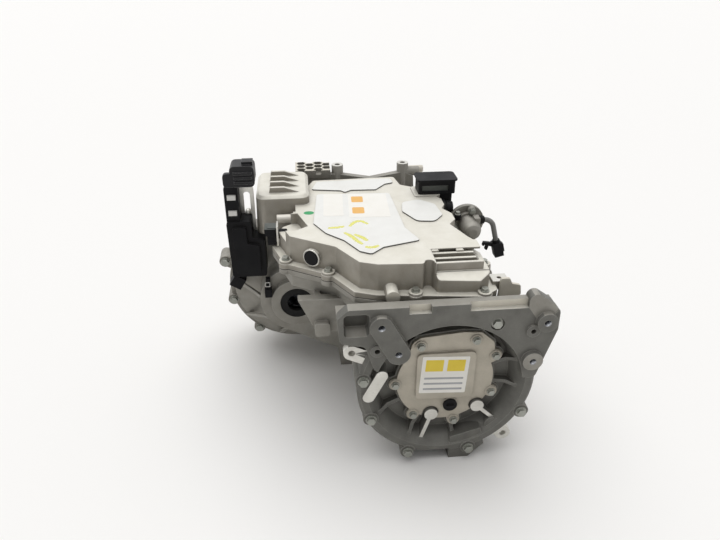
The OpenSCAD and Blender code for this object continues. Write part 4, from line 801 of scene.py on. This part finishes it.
@dataclass
class OilPump(Assembly):
    """Oil pump with its tube and plug; the tube's section and the screw head in metres, the rest in millimetres."""

    tube_diameter: float = 0.009
    gland_end: Point = (104.6, 240.0, 160.0)
    lead: float = 4.0
    bend: float = 18.0
    turn: float = 75.0
    drop: float = 27.0
    pitch: float = 0.0019
    groove: float = 0.0007
    steepness: float = 1.6
    tube_sides: int = 28
    rings_per_groove: int = 6
    boot_start: Point = (99.6, 240.0, 160.0)
    boot_profile: Pairs = (
        (4.7, 0.0), (7.5, 0.0), (7.5, 2.0), (6.1, 2.3), (6.1, 3.2), (7.3, 3.5), (7.3, 5.0), (5.9, 5.3), (5.9, 6.2),
        (6.9, 6.5), (6.9, 7.8), (5.4, 8.2), (5.2, 9.0), (4.7, 9.0))
    stud_at: Point = (64.0, 250.0, 158.0)
    bush_profile: Pairs = ((0.0, 0.0), (6.0, 0.0), (6.0, 8.6), (5.2, 9.4), (0.0, 9.4))
    washer_profile: Pairs = ((0.0, 9.4), (4.9, 9.4), (4.9, 10.4), (4.3, 10.8), (0.0, 10.8))
    head_across: float = 0.0072
    head_height: float = 0.0040
    head_foot: float = 0.0108
    head_chamfer: float = 0.0006
    latch: Pairs = (
        (109.5, 111.0), (112.0, 110.2), (112.8, 112.6), (116.6, 111.4), (114.6, 103.4), (118.2, 102.2), (120.4, 110.2),
        (128.0, 108.0), (129.6, 113.6), (121.6, 116.0), (111.2, 117.4))
    latch_y: Pair = (236.5, 243.5)
    skins: Skins = (
        Skin(CAST_MID, ("oil_pump_body",), 0.0008), Skin(ZINC, ("oil_pump_bolts",)),
        Skin(BLACK, ("pump_cable_gland", "pump_cable_connector")))

    def route(self) -> list[Vector]:
        """Middle line of the tube: straight out of its gland, an arc, then a straight drop.

        Returns:
            Points in metres.
        """
        x0, y0, z0 = self.gland_end
        flat = [(self.lead * k / 3, 0.0) for k in range(3)]
        for k in range(13):
            a = math.radians(self.turn * k / 12)
            flat.append((self.lead + self.bend * math.sin(a), -self.bend * (1 - math.cos(a))))
        x, z = flat[-1]
        flat += [(x + self.drop * k / 8 * math.cos(a), z - self.drop * k / 8 * math.sin(a)) for k in range(1, 9)]
        return [spot(x0 + x, y0, z0 + z) for x, z in flat]

    def tube(self) -> None:
        route = self.route()
        lengths = [0.0]
        for a, b in zip(route, route[1:]):
            lengths.append(lengths[-1] + (b - a).length)
        total = lengths[-1]
        mesh = bmesh.new()
        angles, rings = full_turn(self.tube_sides), []
        count = int(total / self.pitch) * self.rings_per_groove
        for i in range(count + 1):
            s = total * i / count
            k = max(j for j in range(len(route) - 1) if lengths[j] <= s + 1e-9)
            t = (s - lengths[k]) / (lengths[k + 1] - lengths[k])
            middle = route[k].lerp(route[k + 1], t)
            ahead = (route[k + 1] - route[max(k - 1, 0)]).normalized()
            after = (route[min(k + 2, len(route) - 1)] - route[k]).normalized()
            along = ahead.lerp(after, t).normalized()
            side = along.cross(BACK).normalized()
            wave = 0.5 - 0.5 * math.cos(2 * math.pi * (s / self.pitch))
            radius = self.tube_diameter / 2 - self.groove * (1 - min(1.0, self.steepness * wave))
            rings.append([mesh.verts.new(middle + radius * (math.cos(a) * side + math.sin(a) * BACK)) for a in angles])
        bridge(mesh, rings)
        mesh.faces.new(rings[0])
        mesh.faces.new(rings[-1])
        piece = new_piece("pump_cable_tube", mesh, CONDUIT, SOFT_EDGE)
        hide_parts("pump_cable")
        self.plug_latch()

    def plug_latch(self) -> bpy.types.Object:
        """Clip at the side of the plug.

        Returns:
            The clip.
        """
        near, far = self.latch_y
        loop = [(x / 1000, z / 1000) for x, z in reversed(self.latch)]
        place = facing(spot(0, far, 0), RIGHT, FRONT)
        mesh = slab(loop, (far - near) / 1000, place)
        return new_piece("pump_plug_latch", mesh, BLACK, CRISP_EDGE)

    def boot(self) -> None:
        """Ribbed rubber boot in the place of the plain gland."""
        place = facing(spot(*self.boot_start), BACK, RIGHT)
        piece = new_piece("pump_cable_boot", turned(self.boot_profile, place), RUBBER)
        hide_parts("pump_cable_gland")

    def stud(self) -> None:
        """Screw in a black bush on the pump's shoulder."""
        place = facing(spot(*self.stud_at), RIGHT, UP)
        bush = turned(self.bush_profile, place, closed=False)
        new_piece("pump_stud_bush", bush, BLACK)
        washer = turned(self.washer_profile, place, closed=False)
        new_piece("pump_stud_washer", washer, ZINC)
        foot = place @ Matrix.Translation((0, 0, self.head_foot))
        head = slab(hexagon(self.head_across), self.head_height, foot, self.head_chamfer)
        new_piece("pump_stud_head", head, ZINC)

    def trim(self) -> None:
        """Builds the tube, its boot and the stud."""
        self.tube()
        self.boot()
        self.stud()


@dataclass
class Motor(Assembly):
    """Motor with its end cover, threads and label, in millimetres; the label's sizes in metres."""

    label: Label = Label(
        "terminal_label", (-3.0, 10.0, 13.2), (0.0715, 0.0675), 0.002, Vector((1.0, 0.0, -0.054)), FRONT, (
            *(((x, 0.0175), (0.027, 0.021), LABEL_YELLOW) for x in (-0.0165, 0.0165)),
            *(((0.0, y), (0.060, 0.0035), LABEL_GREY) for y in (-0.006, -0.016, -0.026))))
    thread_r: float = 5.1
    thread_pitch: float = 1.75
    thread_depth: float = 27.0
    thread_gap: float = 0.03
    thread_height: float = 0.75
    thread_start: float = 0.6
    thread_sides: int = 28
    mounts: Pairs = ((-102, 119), (-77, 73), (134, 112), (121, 46))
    mount_face: float = -14.0
    skins: Skins = (
        Skin(CAST_DARK, ("motor_end_cover",), 0.0014, patches=(
            Patch(CAST_MID, (-160, -20, 100), (160, 60, 175), UP),  # top of the web, painted lighter as a highlight on its up-facing faces
            Patch(MACHINED, (-40, 8.5, -80), (70, 9.5, -40), FRONT),  # key discs
            Patch(MACHINED, (-70, 8.5, -110), (110, 9.5, -45), FRONT),  # tails of the keys
            Patch(MACHINED, (-130, -3.2, -25), (-85, -2.8, 40), FRONT),  # left pad
            Patch(MACHINED, (-160, 5, 52), (-128, 18.5, 82)),  # left ear
            Patch(MACHINED, (84, 5, -125), (115, 18.5, -92)),  # right ear
            Patch(CAST_MID, (104, -14.5, 30), (138, -13.5, 62), FRONT),  # lower right boss
            Patch(MACHINED, (-64, -8.5, 134), (107, 2.5, 136), UP),  # ledges
            Patch(CAST_PALE, (-64, 1.5, 134), (107, 2.5, 156), FRONT),  # walls behind the ledges
            Patch(CAST_MID, (104, -6.5, 120), (148, -5.5, 158), FRONT))),  # right corner
        Skin(PLATE, ("terminal_cover",), 0.0012),
        Skin(CAST_MID, ("motor_housing",), 0.0012,
             patches=(Patch(CAST_PALE, (60, 39.5, 100), (112, 45.5, 158)),)),
        Skin(ZINC, ("end_cover_bolts", "terminal_cover_bolts")), Skin(BLACK, ("terminal_plug",)),
        Skin(LAMINATE, ("stator_core", "resolver_stator", "rotor_core", "resolver_rotor")),
        Skin(COPPER, ("stator_windings",)),
        Skin(GROUND_STEEL, ("rotor_shaft", "rotor_bearing_inners")),
        Skin(GEAR_STEEL, ("input_pinion",)))

    def threads(self) -> None:
        """Cut threads inside the four front mounting holes."""
        profile = []
        for i in range(int(self.thread_depth / self.thread_pitch)):
            height = -self.thread_start - i * self.thread_pitch
            profile += [(self.thread_r - self.thread_gap, height),
                        (self.thread_r - self.thread_height, height - self.thread_pitch / 2)]
        for k, (x, z) in enumerate(self.mounts):
            place = facing(spot(x, self.mount_face, z), RIGHT, FRONT)
            mesh = turned(profile, place, self.thread_sides, closed=False)
            new_piece(f"front_mount_thread_{k + 1}", mesh, GROUND_STEEL, CRISP_EDGE)

    def trim(self) -> None:
        """Builds the threads and the label."""
        self.threads()
        self.label.stick()


@dataclass
class Inverter(Assembly):
    """Inverter with its sheets, labels, marks and connectors, in millimetres, and the dot in metres."""

    top: float = 187.0
    sheet_top: float = 189.0
    strokes: tuple[Pairs, ...] = (
        ((-164, 169), (-151, 170), (-138, 173)),
        ((-130, 172), (-121, 187), (-110, 190), (-100, 178)),
        ((-140, 151), (-130, 136), (-122, 118), (-116, 107)),
        ((-125, 143), (-114, 130), (-108, 118)),
        ((-113, 99), (-103, 96), (-92, 101)),
    )
    stroke_width: float = 13.0
    stroke_rise: float = 0.06
    stroke_tip: float = 0.35
    stroke_end: float = 0.06
    dot_at: Pair = (-192.0, 236.0)
    dot_size: Pair = (0.0085, 0.0070)
    dot_t: float = 0.00015
    dot_points: int = 28
    dot_wobble: float = 0.06
    plug_at: Point = (-190.0, 128.5, 161.0)
    plug_facing: Point = (-0.534, -0.845, 0.0)
    rim_sides: int = 56
    rim_profile: Pairs = ((11.9, 3.6), (14.2, 3.6), (14.2, 4.8), (13.5, 5.6), (12.4, 5.6), (11.9, 5.0))
    # The blocks have lit tops and shaded walls: painted highlight and painted shade.
    blocks: tuple[Block, ...] = (
        Block("top_plate_lip", CAST_FLUSH_LIT_TOP, (18.0, 98.5, 184.08), (78.0, 25.0, 3.0), 2.0, 0.0),
        Block("top_plate_stop_1", CAST_LIT_TOP, (-12.0, 84.5, 179.0), (11.0, 7.0, 7.2)),
        Block("top_plate_stop_2", CAST_LIT_TOP, (25.0, 83.0, 179.0), (11.0, 7.0, 7.2)),
        Block("first_front_fin", CAST_LIT_TOP, (17.25, 48.5, 171.5), (69.5, 5.0, 12.5)))
    labels: tuple[Label, ...] = (
        Label("narrow_label", (-150.0, 262.0, 189.0), (0.033, 0.094), 0.0015, Vector((1.0, -0.05, 0.0)), UP),
        Label("wide_label", (-91.0, 255.0, 189.0), (0.067, 0.100), 0.0015, Vector((1.0, -0.05, 0.0)), UP, (
            *(((-0.018, y), (0.020, 0.026), LABEL_OCHRE) for y in (0.026, -0.022)),), 0.003))
    skins: Skins = (
        # Lit top and shaded walls of the cover: painted highlight and painted shade.
        Skin(CAST_LIT_TOP, ("inverter_cover",), 0.0016, CAST_SHADED_WALL, (
            Patch(CAST_PALE, (-93, 19.5, 135), (-71, 20.5, 158), FRONT),  # front boss
            Patch(MACHINED, (67, 45, 149.5), (93, 69, 150.5), UP))),  # lug
        # The sheets' dark sides are a painted shadow.
        Skin(FILM, ("rear_damping_sheet", "main_damping_sheet", "round_damping_sheet"), walls=FILM_EDGE_SHADOW),
        Skin(BLACK, ("dc_connector",), 0.0008,
             patches=(Patch(GREY_PANEL, (9, 296.5, 192), (55, 297.5, 206), FRONT),)),
        Skin(BLACK, ("signal_connector",), patches=(
            Patch(GREY_PANEL, (-268, 200, 175.5), (-240, 228, 177), UP),  # panel
            Patch(MACHINED, (-246.5, 200, 140), (-242.5, 228, 190)))),  # collar
        Skin(RUBBER, ("inverter_gasket",)), Skin(ZINC, ("inverter_cover_bolts",)),
        Skin(BLACK, ("inverter_side_plug", "power_module", "dc_link_capacitor", "dc_connector_lid",
                     "round_connector")),
        Skin(BOARD, ("control_board",)), Skin(COPPER, ("phase_busbars",)), Skin(PIPE, ("coolant_inlet_pipe",)))

    def marks(self) -> None:
        """Crayon strokes on the sheet and a paint dot on the cover."""
        half = self.stroke_width / 2
        for k, stroke in enumerate(self.strokes):
            mesh = bmesh.new()
            layer = mesh.loops.layers.uv.new("stroke")
            points = smooth_line([Vector(p) for p in stroke])
            rows = []
            for i, p in enumerate(points):
                share = i / (len(points) - 1)
                along = (points[min(i + 1, len(points) - 1)] - points[max(i - 1, 0)]).normalized()
                arch = math.sin(math.pi * min(max(share, self.stroke_end), 1 - self.stroke_end)) ** 0.5
                side = Vector((-along.y, along.x)) * (half * (self.stroke_tip + (1 - self.stroke_tip) * arch))
                rows.append([mesh.verts.new(spot(q.x, q.y, self.sheet_top + self.stroke_rise))
                             for q in (p + side, p - side)])
            for i, (a, b) in enumerate(zip(rows, rows[1:])):
                face = mesh.faces.new((a[0], a[1], b[1], b[0]))
                for loop, (u, v) in zip(face.loops, ((i, 0.0), (i, 1.0), (i + 1, 1.0), (i + 1, 0.0))):
                    loop[layer].uv = (u / len(points), v)
            new_piece(f"crayon_stroke_{k + 1}", mesh, CRAYON, None)
        wide, high = self.dot_size
        dot = [(wide * math.cos(a) * (1 + self.dot_wobble * math.sin(3 * k)), high * math.sin(a))
               for k, a in enumerate(full_turn(self.dot_points))]
        place = facing(spot(*self.dot_at, self.top), RIGHT, UP)
        new_piece("green_paint_dot", slab(dot, self.dot_t, place), GREEN_DOT)

    def plug_rim(self) -> None:
        """Machined rim round the black plug in the slanted wall."""
        place = facing(spot(*self.plug_at), UP, Vector(self.plug_facing))
        new_piece("side_plug_rim", turned(self.rim_profile, place, self.rim_sides), MACHINED)

    def trim(self) -> None:
        """Builds the plug's rim, the top plate's blocks, the labels and the marks."""
        self.plug_rim()
        for block in self.blocks:
            block.stand()
        for label in self.labels:
            label.stick()
        self.marks()


@dataclass
class Reducer(Assembly):
    """Reducer castings, gears, differential and seals, in millimetres."""

    boss_at: Point = (-2.0, 430.0, 188.0)
    boss_profile: Pairs = ((0.0, 0.0), (7.0, 0.0), (7.0, 36.5), (6.0, 37.7), (4.8, 38.0), (3.2, 38.0), (2.8, 37.0),
                           (2.8, 26.0), (0.0, 25.0))
    skins: Skins = (
        Skin(CAST_MID, ("reducer_case",), 0.0012),
        Skin(CAST_MID, ("reducer_cover",), 0.0012, patches=(
            Patch(MACHINED, (-144, 410, 204.5), (-120, 434, 205.5), UP),  # left boss
            Patch(MACHINED, (-18, 410, 204.5), (6, 434, 205.5), UP),  # right boss
            Patch(CAST_PALE, (-214, 409, 197), (-144, 464, 199), UP))),  # honeycomb
        Skin(ZINC, ("case_bolts", "oil_fill_plug", "oil_drain_plug")),
        Skin(RUBBER, ("front_axle_seal", "rear_axle_seal")),
        Skin(BLACK, ("breather_cap",)),
        Skin(GEAR_STEEL, ("layshaft_gear", "layshaft_pinion", "ring_gear", "differential_case", "front_side_gear",
                          "rear_side_gear", "left_planet_gear", "right_planet_gear")),
        Skin(GROUND_STEEL, ("layshaft", "layshaft_bearing_inners", "differential_bearing_inners",
                            "bearing_outer_rings")))

    def trim(self) -> None:
        """Cross boss beside the right top boss."""
        mesh = turned(self.boss_profile, facing(spot(*self.boss_at), UP, RIGHT), closed=False)
        new_piece("rear_cross_boss", mesh, CAST_PALE)


@dataclass
class ControlUnit(Assembly):
    """Black control unit at the left with its bracket and clips, in millimetres."""

    pin_at: Point = (-297.0, 306.0, 165.4)
    pin_profile: Pairs = ((0.0, -2.0), (4.8, -2.0), (4.8, 9.0), (3.8, 10.6), (2.0, 11.6), (0.0, 12.0))
    socket_at: Point = (-270.0, 249.0, 47.0)
    socket_side: float = 9.0
    socket_wall: float = 1.0
    socket_t: float = 0.8
    skins: Skins = (
        Skin(BLACK, ("control_unit_body",), 0.0010, patches=(
            Patch(WHITE_CLIP, (-327, 260, 175), (-311, 266.5, 185)),  # lower clip
            Patch(WHITE_CLIP, (-327, 260, 203), (-311, 266.5, 213)))),  # upper clip
        Skin(BLACK_CAP, ("control_unit_cap",), 0.0010),
        Skin(BLACK, ("control_unit_plug", "wiring_clip")),
        Skin(MACHINED, ("control_unit_bracket",)))

    def pin(self) -> None:
        """Bright pin at the foot of the bracket's slot."""
        place = facing(spot(*self.pin_at), RIGHT, FRONT)
        new_piece("bracket_pin", turned(self.pin_profile, place, closed=False), MACHINED)

    def socket(self) -> None:
        """Pale square rim on the wiring clip."""
        outer = self.socket_side / math.sqrt(2)
        inner = (self.socket_side - 2 * self.socket_wall) / math.sqrt(2)
        place = facing(spot(*self.socket_at), RIGHT + UP, FRONT)
        section = ((inner, 0.0), (outer, 0.0), (outer, self.socket_t), (inner, self.socket_t))
        rim = turned(section, place, 4)
        new_piece("wiring_clip_rim", rim, WHITE_CLIP, CRISP_EDGE)

    def trim(self) -> None:
        """Builds the pin and the rim."""
        self.pin()
        self.socket()


@dataclass
class Studio:
    """Camera of the photograph, its place in millimetres, pale floor and soft light."""

    lens: float = 30.83
    sensor: float = 36.0
    camera_at: Point = (-201.8, -707.2, 595.2)
    pitch: float = 28.77
    yaw: float = 5.74
    clip: Pair = (0.01, 50.0)
    floor_z: float = -0.154
    floor_half: float = 14.0
    floor_colour: Colour = (0.90, 0.89, 0.87)
    floor_rough: float = 0.7
    room_colour: Colour = (0.95, 0.95, 0.96)
    room_level: float = 0.32
    room_behind: float = 0.14
    room_above: float = 0.26
    sky_power: float = 1.9
    sky_spread: float = 75.0
    sky_way: Point = (0.12, -0.22, -1.0)

    def camera(self) -> None:
        """Places the camera."""
        data = bpy.data.cameras.new("view")
        data.lens, data.sensor_width = self.lens, self.sensor
        data.clip_start, data.clip_end = self.clip
        eye = bpy.data.objects.new("view", data)
        bpy.context.scene.collection.objects.link(eye)
        p, y = math.radians(self.pitch), math.radians(self.yaw)
        ahead = Vector((math.sin(y) * math.cos(p), math.cos(y) * math.cos(p), -math.sin(p)))
        eye.location = spot(*self.camera_at)
        eye.rotation_mode = "QUATERNION"
        eye.rotation_quaternion = ahead.to_track_quat("-Z", "Y")
        bpy.context.scene.camera = eye

    def floor(self) -> None:
        """Lays the floor."""
        mesh = bmesh.new()
        bmesh.ops.create_grid(mesh, x_segments=1, y_segments=1, size=self.floor_half)
        data = bpy.data.meshes.new("floor")
        mesh.to_mesh(data)
        mesh.free()
        paint = bpy.data.materials.new("pale_floor")
        paint.use_nodes = True
        shader = paint.node_tree.nodes["Principled BSDF"]
        shader.inputs["Base Color"].default_value = (*self.floor_colour, 1.0)
        shader.inputs["Roughness"].default_value = self.floor_rough
        data.materials.append(paint)
        plane = bpy.data.objects.new("floor", data)
        plane.location.z = self.floor_z
        bpy.context.scene.collection.objects.link(plane)

    def skylight(self) -> None:
        """Adds a broad soft light from above and a little behind."""
        data = bpy.data.lights.new("skylight", "SUN")
        data.energy, data.angle = self.sky_power, math.radians(self.sky_spread)
        lamp = bpy.data.objects.new("skylight", data)
        lamp.rotation_mode = "QUATERNION"
        lamp.rotation_quaternion = Vector(self.sky_way).to_track_quat("-Z", "Y")
        bpy.context.scene.collection.objects.link(lamp)

    def world(self) -> None:
        """White room: its light is brighter above and behind the part than in front of it."""
        world = bpy.data.worlds.new("room")
        bpy.context.scene.world = world
        world.use_nodes = True
        graph = Graph(world.node_tree)
        back = world.node_tree.nodes["Background"]
        back.inputs["Color"].default_value = (*self.room_colour, 1.0)
        way = graph.add("ShaderNodeTexCoord").outputs["Generated"]
        split = graph.add("ShaderNodeSeparateXYZ")
        graph.join(way, split.inputs[0])
        level = graph.math("ADD", graph.math("MULTIPLY", split.outputs["Y"], self.room_behind),
                           graph.math("MULTIPLY", split.outputs["Z"], self.room_above))
        lit = graph.math("ADD", level, self.room_level)
        rays = graph.add("ShaderNodeLightPath").outputs
        mirrored = graph.math("MAXIMUM", rays["Is Glossy Ray"], rays["Is Transmission Ray"])
        seen = graph.math("MAXIMUM", rays["Is Camera Ray"], mirrored)
        white = graph.math("MULTIPLY", seen, graph.math("SUBTRACT", 1.0, lit))
        graph.join(graph.math("ADD", lit, white), back.inputs["Strength"])

    def build(self) -> None:
        """Builds the studio."""
        bpy.context.scene.view_settings.view_transform = "Standard"
        self.camera()
        self.floor()
        self.skylight()
        self.world()


def main() -> None:
    """Builds the classes in order."""
    EffectShelf().build()
    Studio().build()
    for assembly in (OilPump(), Motor(), Inverter(), Reducer(), ControlUnit()):
        assembly.build()
        LOG.info("built %s", type(assembly).__name__)


if __name__ == "__main__":
    main()
